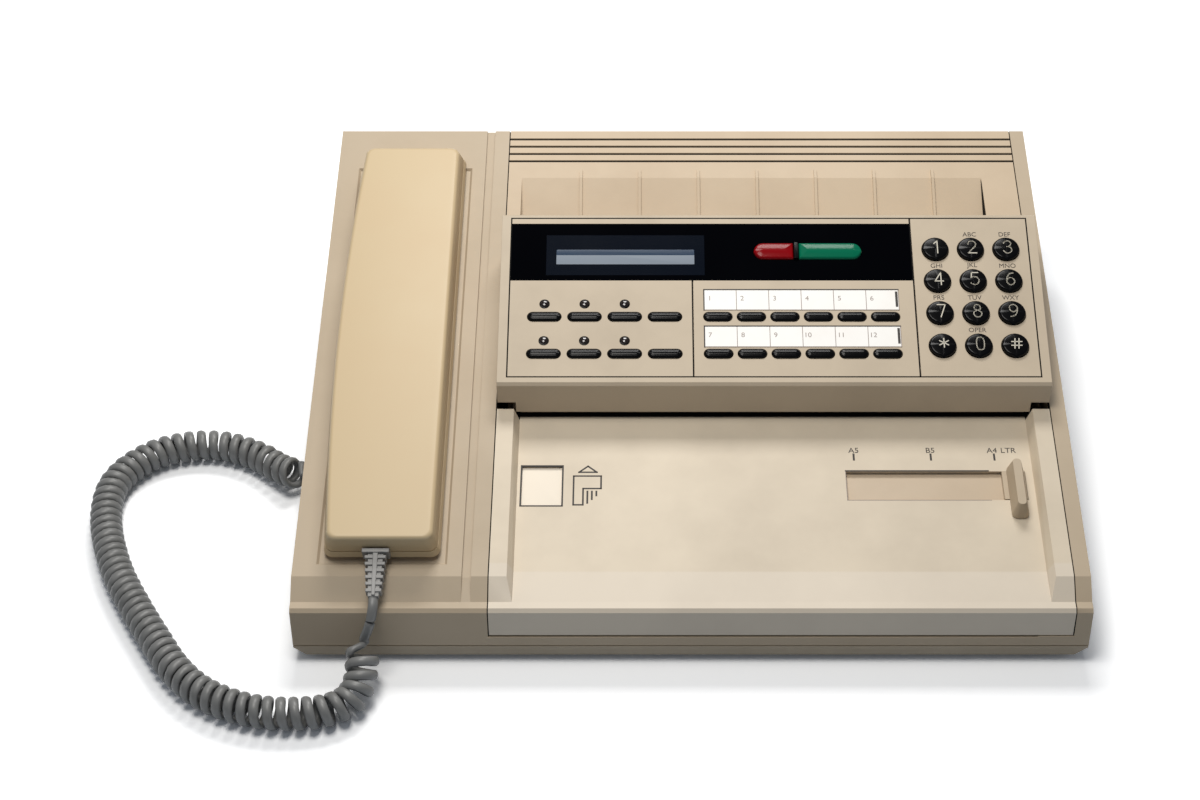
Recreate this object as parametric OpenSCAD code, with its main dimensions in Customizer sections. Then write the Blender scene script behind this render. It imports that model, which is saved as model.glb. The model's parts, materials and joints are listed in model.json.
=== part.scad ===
// Desktop fax machine with a corded handset, a hinged control panel and a hinged document table.
// Millimetres, +Z up, +Y towards the back. The origin is under the middle of the case, on the table top.

/* [Body] */
// Height of the rubber feet
foot_h = 3; // [2:0.5:5]
// Height of the base pan under the seam
base_h = 7; // [6:0.5:9]
// Inset of the base pan's bottom edge at the sides and at the back
base_taper = 5; // [3:0.5:6]
// Inset of the base pan's bottom edge at the front
base_front = 1; // [0.5:0.5:2]
// Height of the front face above the seam
front_h = 19; // [18:0.5:22]
// How far the front face leans back
front_lean = 2.5; // [1.5:0.5:4]
// Depth of the narrow ledge above the front face
lip_d = 4.5; // [3.5:0.5:6]
// Depth of the sloping step behind the ledge
step_d = 9; // [8:0.5:10]
// Height of the sloping step
step_h = 6.3; // [5.5:0.1:7.5]
// Slope of the top deck in degrees
deck_tilt = 10; // [9.5:0.1:10.5]
// Wall of the moulded covers
wall = 2.5; // [2.2:0.1:2.8]
// Visible gap along the seams
seam_gap = 0.5; // [0.4:0.1:0.8]
// Bevel along the outer edges
edge_cut = 1.4; // [0.8:0.1:1.8]
// Width of the block on the left that carries the handset
bay_w = 82.5; // [80:0.5:86]
// Width of the rim on the right
rim_w = 6.7; // [6.5:0.1:8]
// Wall of the rim beside the middle opening
rim_wall = 2; // [1.8:0.1:2.2]
// Groove in the deck: distance of its middle from the left side
groove_x = 73.5; // [72:0.5:75]
// Width of the groove
groove_w = 4; // [3:0.5:5]
// Depth of the groove
groove_t = 2; // [1:0.25:2.5]

/* [Rear cover] */
// Depth of the case behind the panel's hinge
rear_l = 82; // [80:0.5:88]
// Number of grille slots
grille_count = 4; // [2:1:5]
// Width of a grille slot
grille_w = 1.4; // [1:0.1:1.8]
// Spacing of the grille slots
grille_pitch = 4.9; // [4:0.1:5.2]
// Distance of the rearmost slot from the back
grille_edge = 7; // [6:0.5:9]
// Margin left of the paper ramp
ramp_left = 7; // [6:0.5:9]
// Margin right of the paper ramp
ramp_right = 17; // [14:0.5:19]
// Distance of the ramp's top edge from the back
ramp_edge = 32.8; // [31:0.1:34]
// Slope of the paper ramp in degrees
ramp_tilt = 26; // [25:0.5:27]
// Number of ribs on the ramp
rib_count = 7; // [5:1:7]
// Width of a rib
rib_w = 1.3; // [1:0.1:2]
// Spacing of the ribs
rib_pitch = 28.4; // [26:0.1:29]
// Height of a rib above the ramp
rib_h = 1.6; // [1:0.1:2]

/* [Document table] */
// Slope of the document table in degrees
table_tilt = 9; // [8.5:0.1:9.5]
// Distance of the table's front crease from the front
table_d0 = 22.5; // [21:0.5:24]
// Height of the table's front crease
table_z0 = 31.1; // [30.5:0.1:31.5]
// Thickness of the table
table_t = 2.6; // [2.2:0.1:3]
// Width of the side rails on top
rail_w = 7.5; // [7:0.1:8.5]
// Extra width of the rails at their foot
rail_foot = 2.4; // [1.5:0.1:3]
// Radius of the table hinge pins
table_pin_r = 1.5; // [1.2:0.1:2]
// Paper window: width
window_w = 18.2; // [16:0.1:20]
// Paper window: length along the slope
window_l = 21.8; // [20:0.1:24]
// Paper window: distance from the left rail's foot
window_x = 1.7; // [1:0.1:4]
// Paper window: distance of its front edge along the slope
window_s = 34.6; // [32:0.1:37]
// Width guide slot: width along the slope
slot_l = 15.6; // [14:0.1:17]
// Width guide slot: distance of its front edge along the slope
slot_s = 37.8; // [35:0.1:40]
// Narrowest sheet that the guide reaches
sheet_min = 148; // [140:1:160]
// Widest sheet that the guide reaches
sheet_max = 216; // [210:1:218]
// Height of the guide's fin
fin_h = 9; // [7:0.5:12]
// Length of the guide's fin
fin_l = 28; // [24:0.5:30]

/* [Control panel] */
// Distance of the apron from the front
apron_d = 104; // [102:0.5:106]
// Height of the apron's lower edge
apron_z = 48.6; // [48.4:0.1:49.4]
// Height of the panel's front edge
panel_z = 65.4; // [64.5:0.1:67]
// Slope of the panel in degrees
panel_tilt = 19; // [18.5:0.1:19.5]
// Length of the key field along the slope, from the panel's front edge to the display
key_field_l = 53; // [52:0.5:55]
// Distance of the panel hinge behind the panel's top edge
hinge_back = 4.85; // [4.6:0.05:5.5]
// Depth of the panel hinge under the deck
hinge_drop = 6.7; // [6:0.1:7.5]
// Radius of the panel hinge pins
panel_pin_r = 2.5; // [2:0.1:3]
// Margin of the key plate inside the housing
plate_margin = 4.6; // [4:0.1:5.5]
// Thickness of the key plate
plate_t = 2; // [1.8:0.1:2.2]
// Depth of the display window along the slope
display_l = 30.5; // [28:0.5:32]
// Width of the keypad field on the right
keypad_w = 53.4; // [52:0.1:56]
// Width of the function key field on the left
function_w = 82.4; // [80:0.1:84]
// Width of the one-touch key field in the middle
touch_w = 100.2; // [99:0.1:106]
// Width of the display glass
lcd_w = 62.8; // [56:0.1:66]
// Height of the display glass along the slope
lcd_l = 7.9; // [7:0.1:9]

/* [Keys] */
// Travel of every key
key_travel = 1.5; // [1:0.1:1.5]
// Clearance round every key
key_gap = 0.3; // [0.2:0.05:0.4]
// Diameter of a keypad key
round_key_d = 12; // [11:0.1:13]
// Keypad spacing across
keypad_px = 16.15; // [15:0.05:16.5]
// Keypad spacing along the slope
keypad_ps = 17; // [16:0.1:17.5]
// Height of the keypad keys above the plate
round_key_h = 1.8; // [1:0.1:2.5]
// Length of a function key
function_key_w = 15; // [13:0.1:16]
// Spacing of the function keys
function_pitch = 18.05; // [17.5:0.05:18.5]
// Length of a one-touch key
touch_key_w = 12.7; // [11:0.1:13]
// Spacing of the one-touch keys
touch_pitch = 15.05; // [14.7:0.05:15.1]
// Width of the pill keys along the slope
pill_l = 4.6; // [4:0.1:5]
// Spacing of the two key rows along the slope
row_pitch = 19.2; // [18:0.1:20]
// Height of the pill keys above the plate
pill_h = 1; // [0.6:0.1:1.5]
// Width of the stop key
stop_w = 18; // [16:0.5:19]
// Width of the start key
start_w = 28.6; // [26:0.1:30]
// Length of the stop and start keys along the slope
bar_l = 8.6; // [8:0.1:9]
// Diameter of a status light
led_d = 3.6; // [3:0.1:4]

/* [Handset] */
// Length of the handset at its foot
handset_l = 233.5; // [228:0.5:235]
// Width of the handset on top
handset_w = 44.2; // [42:0.2:46]
// Flare of the sides towards the foot
handset_flare = 2.5; // [1.5:0.1:3]
// How far the handset's left side bows out at its middle
handset_bow = 3.8; // [0:0.2:4.2]
// Slope of the handset's rear end towards the foot
handset_tail = 6.5; // [4:0.5:8]
// Height of the handset's top above the deck
handset_top = 16; // [14:0.5:18]
// Height of the handset's foot above the deck
handset_rest = 1.6; // [1.3:0.1:1.9]
// Height of the parting line above the deck
handset_part = 5.5; // [5:0.5:7]
// Distance of the handset's front end along the deck
handset_s = 8.6; // [8:0.2:9]
// Distance of the handset's middle from the left side
handset_x = 37.6; // [37:0.2:38.4]
// Wall of the handset shells
shell_t = 2; // [1.6:0.1:2.4]
// Radius of the ear and mouth capsules
capsule_r = 19.5; // [18:0.5:20]
// Depth of the capsules under the deck
capsule_t = 9; // [6:0.5:10]
// Radius of the hook plunger
hook_r = 3; // [2.5:0.25:3.5]
// Length of the strain relief
boot_l = 21; // [20:0.5:22]
// Diameter of the strain relief at the handset
boot_d = 9; // [8:0.5:10]

/* [Inside] */
// Radius of the part-used paper roll
roll_r = 13.5; // [11:0.5:13.5]
// Radius of the roll's core
core_r = 6.3; // [5:0.1:7]
// Distance of the roll from the front
roll_d = 69; // [66:0.5:70]
// Radius of the recording platen
platen_r = 8; // [7:0.25:8.25]
// Distance of the platen behind the panel's apron
platen_back = 20; // [19:0.5:21]
// Height of the platen's axis
platen_z = 27; // [26:0.25:27.5]
// Radius of the document feed roller
feed_r = 7; // [6.5:0.1:7]
// Radius of the platen shaft
platen_shaft_r = 3; // [2.5:0.25:3.5]
// Radius of the feed shaft
feed_shaft_r = 2.5; // [2:0.25:3]
// Clearance of a shaft or pin in its bore
run_gap = 0.05; // [0.03:0.01:0.08]
// Module of the gears
gear_m = 1; // [1:0.05:1]
// Teeth on the platen gear
platen_teeth = 20; // [20:1:20]
// Teeth on the feed gear
feed_teeth = 17; // [17:1:17]
// Depth of the image sensor
sensor_l = 20; // [18:0.5:22]
// Height of the image sensor
sensor_h = 15; // [12:0.5:16]
// Thickness of the circuit boards
board_t = 1.6; // [1.2:0.1:2]
// Radius of the case screws
screw_r = 1.5; // [1.25:0.05:1.6]

/* [Cord] */
// Outer diameter of the coiled cord
coil_d = 14.4; // [13:0.2:15]
// Diameter of the cord's strand
strand_d = 4.4; // [4:0.1:5]

/* [Hidden] */
$fn = 48;
eps = 0.01;

case_colour = "#c2b49c";
panel_colour = "#cabda5";
handset_colour = "#d2bd94";
key_colour = "#17171a";
cord_colour = "#8f8d88";
steel_colour = "#a9adb1";
board_colour = "#2f6b45";
rubber_colour = "#2b2b2d";

// Heights and places that follow from the sizes above. A distance d counts back from the front.
seam_z = foot_h + base_h;
lip_z = seam_z + front_h;
ledge_d = front_lean + lip_d;
deck_d = ledge_d + step_d;
deck_z0 = lip_z + step_h;
strip_z = seam_z + 4.4;
house_gap = 0.3;
back_sill_z = 66;
panel_l = key_field_l + display_l + 5.5;
hinge_d = apron_d + 1 + panel_l * cos(panel_tilt) + hinge_back;
body_d = hinge_d + rear_l;
body_w = bay_w + 2 * (seam_gap + house_gap + plate_margin) + function_w + touch_w + keypad_w + rim_w;
mod_x0 = -body_w / 2 + bay_w;
mod_x1 = body_w / 2 - rim_w;
groove_mid = -body_w / 2 + groove_x;
floor_z = foot_h + wall;

function deck_z(d) = deck_z0 + (d - deck_d) * tan(deck_tilt);
hinge_z = deck_z(hinge_d) - hinge_drop;
function table_z(d) = table_z0 + (d - table_d0) * tan(table_tilt);

// Ramp and document guide of the rear cover
cover_x0 = mod_x0 + seam_gap;
cover_x1 = mod_x1 - seam_gap;
ramp_x0 = mod_x0 + ramp_left;
ramp_x1 = mod_x1 - ramp_right;
ramp_d = body_d - ramp_edge;
ramp_foot_d = hinge_d + 6;
guide_d = apron_d + 8;
guide_z = table_z(apron_d + 6);
cover_front_d = hinge_d + 10;
function ramp_z(d) = deck_z(ramp_d) - (ramp_d - d) * tan(ramp_tilt);
function guide_top(d) = guide_z + (d - guide_d) * (ramp_z(ramp_foot_d) - guide_z) / (ramp_foot_d - guide_d);

// Document table
table_x0 = mod_x0 + seam_gap;
table_x1 = mod_x1 - seam_gap;
table_in0 = table_x0 + rail_w + rail_foot;
table_in1 = table_x1 - rail_w - rail_foot;
table_end_d = apron_d + 6;
rail_end_d = apron_d - 0.4;
table_pin_d = apron_d - 2;
table_pin_z = table_z(table_end_d);
guide_face_x = table_in0 + sheet_max;
foot_w = 10;
slide_gap = 0.3;
guide_travel = sheet_max - sheet_min;
slot_x1 = guide_face_x + 6.6;
slot_x0 = slot_x1 - foot_w - guide_travel - 2 * slide_gap;

// Panel: s counts along its slope from the front edge, n along its normal
house_x0 = mod_x0 + seam_gap + house_gap;
house_x1 = mod_x1 - seam_gap - house_gap;
house_t = plate_t + 1.5;
plate_x0 = house_x0 + plate_margin;
plate_x1 = house_x1 - plate_margin;
plate_s0 = 2.9;
plate_s1 = panel_l - 2.6;
key_split_x = plate_x1 - keypad_w;
display_s1 = plate_s1 - 2.9;
display_s0 = display_s1 - display_l;
display_t = 1.2;
function pl(s, n) = [apron_d + 1 + s * cos(panel_tilt) - n * sin(panel_tilt),
                     panel_z + s * sin(panel_tilt) + n * cos(panel_tilt)];
ear_r = 5;
pin_l = 2.8;

// Key fields
keypad_x = plate_x1 - 42.5;
keypad_s = panel_l - 19.6;
row_s = key_field_l - 19.3;
function_x = plate_x0 + 15.8;
touch_x = plate_x0 + function_w + 11.3;
led_s = row_s + 6.7;
bar_s = display_s0 + 15.5;
stop_x = plate_x0 + 119.7;
start_x = stop_x + stop_w / 2 + 2.5 + start_w / 2;
lcd_x = plate_x0 + 51.9;
lcd_s = display_s0 + 12.5;
flange = 0.8;
key_clear = 0.1;
board_n = -9;
board_s0 = 6;
board_s1 = panel_l - 7;
label_l = 10.7;
label_t = 0.5;
label_w = 6 * touch_pitch - 2.6;
label_s = row_s + 8.9;

// Handset
handset_mid = -body_w / 2 + handset_x;
ear_s = handset_s + handset_l - 32;
mouth_s = handset_s + 30;
well_gap = 1.2;
rest_gap = 0.2;
cradle_depth = 1.1;
cradle_front = handset_s - 2.6;
cradle_back = handset_s + handset_l - 4.9;
hook_s = handset_s + 112;
hook_flange_n = -11;

// Rollers, gears and boards
platen_d = apron_d + platen_back;
feed_dist = gear_m * (platen_teeth + feed_teeth) / 2;
feed_d = platen_d + 12;
mesh_angle = acos((feed_d - platen_d) / feed_dist);
feed_z = platen_z + feed_dist * sin(mesh_angle);
bearing_t = 3;
roller_x0 = ramp_x0 + 6.5;
roller_x1 = ramp_x1 - 4.5;
bearing_x0 = mod_x0 + 4;
bearing_x1 = ramp_x1 + 1.2;
gear_w = 4;
gear_x = bearing_x1 + bearing_t + 1.2;
sensor_d = feed_d + 24;
motor_d = platen_d + 30;
motor_z = 20;
motor_r = 12;
main_d0 = hinge_d - 14;
main_d1 = body_d - 9;
main_x0 = mod_x0 + 15.5;
main_x1 = mod_x1 - 31.3;
main_z = floor_z + 4;
supply_h = 36;
screw_h = 14;
screw_x0 = -body_w / 2 + 12;
screw_x1 = mod_x0 - 5.6;
screw_x2 = mod_x1 - 2.6;
screw_d0 = 24;
screw_d1 = body_d - 21;
jack_y = -38.5;
jack_z = 16;

// Strain relief in deck coordinates, and where its tip ends
boot_start = [handset_mid - 1.8, handset_s - 0.4, 6];
boot_drop = 9;
boot_dir = [0, -cos(boot_drop + deck_tilt), -sin(boot_drop + deck_tilt)];
boot_end = [boot_start.x, deck_d - body_d / 2 + boot_start.y * cos(deck_tilt) - boot_start.z * sin(deck_tilt),
            deck_z0 + boot_start.y * sin(deck_tilt) + boot_start.z * cos(deck_tilt)] + boot_l * boot_dir;

// Play between the strain relief and its neighbours
boot_gap = 0.05;
lead_gap = 0.4;

// Route of the uncoiled stretch from the strain relief, of the coil's middle line, and of the jack end
lead_route = [boot_end + lead_gap * boot_dir, boot_end + 4 * boot_dir, [-133.2, -142.2, 30], [-134.8, -143.1, 25],
              [-136.4, -143.6, 20.9], [-136.9, -144.9, 18.6], [-137, -147.3, 17.25]];
coil_route = [[-137, -147.5, 17.1], [-137.2, -153.5, 13.8], [-138.2, -160, 10], [-142.5, -167, 7.8],
              [-153, -172, 7.4], [-171, -173, 7.4], [-188, -169.4, 7.4], [-204, -161.2, 7.4],
              [-216.5, -149, 7.4], [-227, -133.4, 7.4], [-239, -114, 7.4], [-250, -94, 7.4],
              [-258, -73.5, 7.4], [-262, -56, 7.4], [-262, -40.5, 7.4], [-256.4, -28, 7.4],
              [-245, -17.5, 7.4], [-230, -12.5, 7.4], [-214, -12.8, 7.4], [-198, -19.5, 7.4],
              [-186.5, -29, 8.6], [-177, -36.4, 12]];
jack_route = [[-176.8, -36.6, 12.1], [-174.6, -38.1, 13.1], [-172.2, -38.5, 14.6], [-169.9, -38.5, 16]];

// Extrudes an outline of [distance from the front, height] points from x0 to x1.
module across(x0, x1) {
  translate([x0, -body_d / 2, 0]) rotate([90, 0, 90]) linear_extrude(x1 - x0) children();
}

module on_deck() {
  translate([0, deck_d - body_d / 2, deck_z0]) rotate([deck_tilt, 0, 0]) children();
}

module on_table() {
  translate([0, table_d0 - body_d / 2, table_z0]) rotate([table_tilt, 0, 0]) children();
}

module on_panel() {
  translate([0, apron_d + 1 - body_d / 2, panel_z]) rotate([panel_tilt, 0, 0]) children();
}

// Block between two corners
module block(low, high) {
  translate(low) cube(high - low);
}

// Block whose foot is smaller than its top by inset = [left, right, front, back]
module tapered(low, high, inset) {
  intersection() {
    translate([0, high.y, 0]) rotate([90, 0, 0]) linear_extrude(high.y - low.y)
      polygon([[low.x + inset[0], low.z], [high.x - inset[1], low.z], [high.x, high.z], [low.x, high.z]]);
    translate([low.x, 0, 0]) rotate([90, 0, 90]) linear_extrude(high.x - low.x)
      polygon([[low.y + inset[2], low.z], [high.y - inset[3], low.z], [high.y, high.z], [low.y, high.z]]);
  }
}

// Flat block with round corners, standing on z
module rounded(x0, x1, y0, y1, r, z, h) {
  translate([0, 0, z]) linear_extrude(h) {
    translate([x0 + r, y0]) square([x1 - x0 - 2 * r, y1 - y0]);
    translate([x0, y0 + r]) square([x1 - x0, y1 - y0 - 2 * r]);
    for (x = [x0 + r, x1 - r], y = [y0 + r, y1 - r]) translate([x, y]) circle(r);
  }
}

// Round bar along X with its middle at distance d and height z
module bar(x0, x1, d, z, r) {
  translate([x0, d - body_d / 2, z]) rotate([0, 90, 0]) cylinder(h = x1 - x0, r = r);
}

// Gear teeth with involute flanks, one tooth on the X axis of the outline
function involute(rb, r) = let (t = sqrt(max(0, (r / rb) * (r / rb) - 1))) t * 180 / PI - atan(t);
module gear2d(teeth) {
  pitch_r = gear_m * teeth / 2;
  base_r = pitch_r * cos(20);
  root_r = pitch_r - 1.2 * gear_m;
  tip_r = pitch_r + 0.9 * gear_m;
  half = 90 / teeth - 0.2 / pitch_r * 90 / PI + involute(base_r, pitch_r);
  radii = [for (k = [0:4]) max(base_r, root_r) + (tip_r - max(base_r, root_r)) * k / 4];
  flank = [for (r = radii) [r, half - involute(base_r, r)]];
  tooth = concat([[root_r, half]], flank);
  points = [for (i = [0:teeth - 1], side = [-1, 1], k = [0:len(tooth) - 1])
    let (p = tooth[side < 0 ? k : len(tooth) - 1 - k], a = i * 360 / teeth + side * p[1])
      [p[0] * cos(a), p[0] * sin(a)]];
  polygon(points);
}

// Closed tube of diameter dia along a smooth line through the route's points
function spline(p, q, r, s, t) = 0.5 * (2 * q + (r - p) * t + (2 * p - 5 * q + 4 * r - s) * t * t
  + (3 * q - p - 3 * r + s) * t * t * t);
function smooth(route, steps) = let (last = len(route) - 1) concat(
  [for (i = [0:last - 1], k = [0:steps - 1])
    spline(route[max(0, i - 1)], route[i], route[i + 1], route[min(last, i + 2)], k / steps)],
  [route[last]]);
function unit(v) = v / norm(v);
module tube(route, dia, steps, sides) {
  line = smooth(route, steps);
  n = len(line);
  rings = [for (i = [0:n - 1])
    let (t = unit(line[min(n - 1, i + 1)] - line[max(0, i - 1)]), u = unit(cross(t, [0, 0, 1])), v = cross(u, t))
      for (k = [0:sides - 1]) line[i] + dia / 2 * (cos(k * 360 / sides) * u + sin(k * 360 / sides) * v)];
  sides_faces = [for (i = [0:n - 2], k = [0:sides - 1]) let (m = (k + 1) % sides)
    each [[i * sides + k, i * sides + m, (i + 1) * sides + m], [i * sides + k, (i + 1) * sides + m, (i + 1) * sides + k]]];
  polyhedron(rings, concat(sides_faces,
    [[for (k = [sides - 1:-1:0]) k], [for (k = [0:sides - 1]) (n - 1) * sides + k]]));
}

// Outline of the case from the side, and of the space inside it
case_outer = [[0, seam_z], [front_lean - 0.3, lip_z - edge_cut], [front_lean + edge_cut - 0.3, lip_z],
  [ledge_d, lip_z + 0.2], [deck_d, deck_z0], [body_d - edge_cut, deck_z(body_d - edge_cut)],
  [body_d, deck_z(body_d - edge_cut) - edge_cut], [body_d, seam_z]];
case_inner = [[wall, seam_z - 1], [front_lean + wall, lip_z - wall], [ledge_d + 0.8, lip_z + 0.2 - wall],
  [deck_d + 0.6, deck_z(deck_d + 0.6) - wall], [body_d - wall, deck_z(body_d - wall) - wall],
  [body_d - wall, seam_z - 1]];

module case_block(x0, x1, w0, w1) {
  difference() {
    across(x0, x1) polygon(case_outer);
    across(x0 + w0, x1 - w1) polygon(case_inner);
  }
}

module screw_places() {
  for (x = [screw_x0, screw_x1, screw_x2], d = [screw_d0, screw_d1])
    translate([x, d - body_d / 2, 0]) children();
}

module base_pan() {
  bevel_z = foot_h + base_h - edge_cut;
  x = body_w / 2;
  y = body_d / 2;
  color(case_colour) difference() {
    union() {
      difference() {
        union() {
          tapered([-x, -y, foot_h], [x, y, bevel_z], [base_taper, base_taper, base_front, base_taper]);
          block([-x, -y, bevel_z], [x, y, seam_z - seam_gap]);
          block([seam_gap - x, seam_gap - y, bevel_z], [x - seam_gap, y - seam_gap, seam_z]);
        }
        tapered([wall - x, wall - y, floor_z], [x - wall, y - wall, bevel_z + eps],
          [base_taper, base_taper, base_front, base_taper] * 0.6);
        block([wall - x, wall - y, bevel_z], [x - wall, y - wall, seam_z + 1]);
      }
      screw_places() translate([0, 0, foot_h]) cylinder(h = base_h, r = 3.4);
      bearing_walls();
      roll_trough();
      for (x = [main_x0 + 8, main_x1 - 8], d = [main_d0 + 8, main_d1 - 8])
        translate([x, d - body_d / 2, floor_z - eps]) cylinder(h = main_z - floor_z + eps, r = 3);
    }
    screw_places() translate([0, 0, foot_h - 1]) cylinder(h = base_h + 2, r = screw_r + 0.25);
    screw_places() translate([0, 0, foot_h - 1]) cylinder(h = 3.4, r = 2 * screw_r + 0.2);
    bar(bearing_x0 - 1, bearing_x1 + bearing_t + 1, platen_d, platen_z, platen_shaft_r + run_gap);
    bar(bearing_x0 - 1, bearing_x1 + bearing_t + 1, feed_d, feed_z, feed_shaft_r + run_gap);
  }
}

// Upright walls of the base pan that carry the roller shafts and the image sensor
module bearing_walls() {
  top = feed_z + feed_shaft_r + 3;
  for (x = [bearing_x0, bearing_x1]) {
    across(x, x + bearing_t) polygon([[platen_d - 9, floor_z - eps], [feed_d + 5.4, floor_z - eps],
      [feed_d + 5.4, top - 2], [feed_d + 3.4, top], [feed_d - 3.4, top], [platen_d - 6, platen_z + 7],
      [platen_d - 9, platen_z + 3]]);
  }
  for (x = [roller_x0 + 2, roller_x1 - 24])
    across(x, x + bearing_t) polygon([[sensor_d - 5, floor_z - eps], [sensor_d + 5, floor_z - eps],
      [sensor_d + 5, sensor_foot], [sensor_d - 5, sensor_foot]]);
}

// Low ridges of the base pan that keep the paper roll in its place
module roll_trough() {
  for (x = [roller_x0 + 20, roller_x1 - 24], side = [-1, 1])
    across(x, x + bearing_t) polygon([[roll_d + side * (roll_r + 1.2), floor_z - eps],
      [roll_d + side * (roll_r + 8), floor_z - eps], [roll_d + side * (roll_r + 8), floor_z + 2],
      [roll_d + side * (roll_r + 1.2), floor_z + 8]]);
}
sensor_foot = guide_top(sensor_d) - sensor_h;

module upper_case() {
  groove_a = groove_mid - groove_w / 2;
  groove_b = groove_mid + groove_w / 2;
  back = deck_z(body_d - wall);
  color(case_colour) difference() {
    union() {
      case_block(-body_w / 2, mod_x0, wall, wall);
      case_block(mod_x1, body_w / 2, rim_wall, wall);
      across(mod_x0 - wall, mod_x1 + rim_wall) polygon([[body_d - wall, seam_z], [body_d, seam_z],
        [body_d, back_sill_z], [body_d - wall, back_sill_z]]);
      across(mod_x0 - wall, mod_x1 + rim_wall) polygon([[0, seam_z], [wall, seam_z], [wall + 0.5, strip_z],
        [0.5, strip_z]]);
      across(mod_x1 - 15, mod_x1 + rim_wall) polygon([[0, seam_z], [wall, seam_z], [wall + 0.5, strip_z + 0.5],
        [0.55, strip_z + 0.5]]);
      across(groove_a - 1.2, groove_b + 1.2) polygon([[ledge_d + 1, lip_z - wall], [deck_d + 1, deck_z0 - 4],
        [body_d - wall + eps, back - 4.2], [body_d - wall + eps, back - 1], [deck_d, deck_z0 - 1],
        [ledge_d + 1, lip_z - 1]]);
      on_deck() for (s = [mouth_s, ear_s]) translate([handset_mid, s, -capsule_t - rest_gap - 2])
        cylinder(h = capsule_t + rest_gap + 1, r = capsule_r + well_gap + 1.6);
      on_deck() translate([handset_mid, hook_s, -7]) cylinder(h = 6, r = hook_r + 2);
      screw_places() translate([0, 0, seam_z]) cylinder(h = screw_h, r = 3.2);
      for (d = [screw_d0, screw_d1])
        block([1 - body_w / 2, d - 1 - body_d / 2, seam_z], [screw_x0, d + 1 - body_d / 2, seam_z + screw_h]);
    }
    across(groove_a, groove_b) polygon([[ledge_d, lip_z + 0.2], [deck_d + 1, deck_z(deck_d + 1) - groove_t],
      [body_d + 1, deck_z(body_d + 1) - groove_t], [body_d + 1, 2 * deck_z(body_d)], [ledge_d, 2 * deck_z(body_d)]]);
    on_deck() tapered([handset_mid - handset_w / 2 - handset_flare - 3, cradle_front, -cradle_depth],
      [handset_mid + handset_w / 2 + handset_flare + 3, cradle_back, eps], [1, 1, 1, 1]);
    on_deck() for (s = [mouth_s, ear_s]) translate([handset_mid, s, -capsule_t - rest_gap])
      cylinder(h = capsule_t + rest_gap + 1, r = capsule_r + well_gap);
    on_deck() translate([handset_mid, hook_s, -12]) cylinder(h = 14, r = hook_r + run_gap);
    bar(mod_x0 - wall - 1, mod_x0 + 1, table_pin_d, table_pin_z, table_pin_r + run_gap);
    bar(mod_x1 - 1, mod_x1 + rim_wall + 1, table_pin_d, table_pin_z, table_pin_r + run_gap);
    bar(mod_x0 - wall - 1, mod_x0 + 1, hinge_d, hinge_z, panel_pin_r + run_gap);
    bar(mod_x1 - 1, mod_x1 + rim_wall + 1, hinge_d, hinge_z, panel_pin_r + run_gap);
    block([-body_w / 2 - 1, jack_y - 6, jack_z - 4], [-body_w / 2 + 1.6, jack_y + 6, jack_z + 4]);
    screw_places() translate([0, 0, seam_z - 1]) cylinder(h = screw_h, r = screw_r + eps);
  }
}

// Skin of the rear cover from distance d0 to the back, and the ramp with the document guide before it
function skin_back() = [[body_d - edge_cut, deck_z(body_d - edge_cut)],
  [body_d, deck_z(body_d - edge_cut) - edge_cut], [body_d, back_sill_z + seam_gap],
  [body_d - wall, back_sill_z + seam_gap], [body_d - wall, deck_z(body_d - wall) - wall]];
side_skin = concat([[cover_front_d, deck_z(cover_front_d)]], skin_back(),
  [[cover_front_d, deck_z(cover_front_d) - wall]]);
cheek_skin = concat([[cover_front_d, deck_z(cover_front_d)]], skin_back(),
  [[ramp_d + 2, deck_z(ramp_d + 2) - wall], [cover_front_d, ramp_z(cover_front_d) - wall]]);
ramp_skin = concat([[guide_d, guide_z], [ramp_foot_d, ramp_z(ramp_foot_d)], [ramp_d, deck_z(ramp_d)]], skin_back(),
  [[ramp_d + 2, deck_z(ramp_d + 2) - wall], [ramp_foot_d + 1, ramp_z(ramp_foot_d) - wall], [guide_d, guide_z - wall]]);

module rear_cover() {
  cheek = 2;
  color(case_colour) difference() {
    union() {
      across(cover_x0, ramp_x0 - cheek) polygon(side_skin);
      across(ramp_x0 - cheek, ramp_x0) polygon(cheek_skin);
      across(ramp_x0, ramp_x1) polygon(ramp_skin);
      across(ramp_x1, ramp_x1 + cheek) polygon(cheek_skin);
      across(ramp_x1 + cheek, cover_x1) polygon(side_skin);
      ramp_ribs();
    }
    for (i = [0:grille_count - 1]) grille_slot(body_d - grille_edge - i * grille_pitch);
    across(roller_x0 - 0.6, roller_x1 + 0.6) translate([feed_d - feed_r - 0.2, 30])
      square([2 * feed_r + 0.4, 30]);
    across(roller_x0 - 0.6, roller_x1 + 0.6) translate([sensor_d - sensor_l / 2 - 0.3, 30])
      square([sensor_l + 0.6, 30]);
  }
}

// One slot right across the cover, cut through between short bridges
module grille_slot(d) {
  z = deck_z(d);
  bridges = 8;
  span = (cover_x1 - cover_x0) / bridges;
  across(cover_x0 - 1, cover_x1 + 1) translate([d - grille_w / 2, z - wall / 2]) square([grille_w, 6]);
  for (i = [0:bridges - 1])
    across(cover_x0 + i * span + 2, cover_x0 + (i + 1) * span - 2)
      translate([d - grille_w / 2, z - 2 * wall]) square([grille_w, 4]);
}

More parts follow.
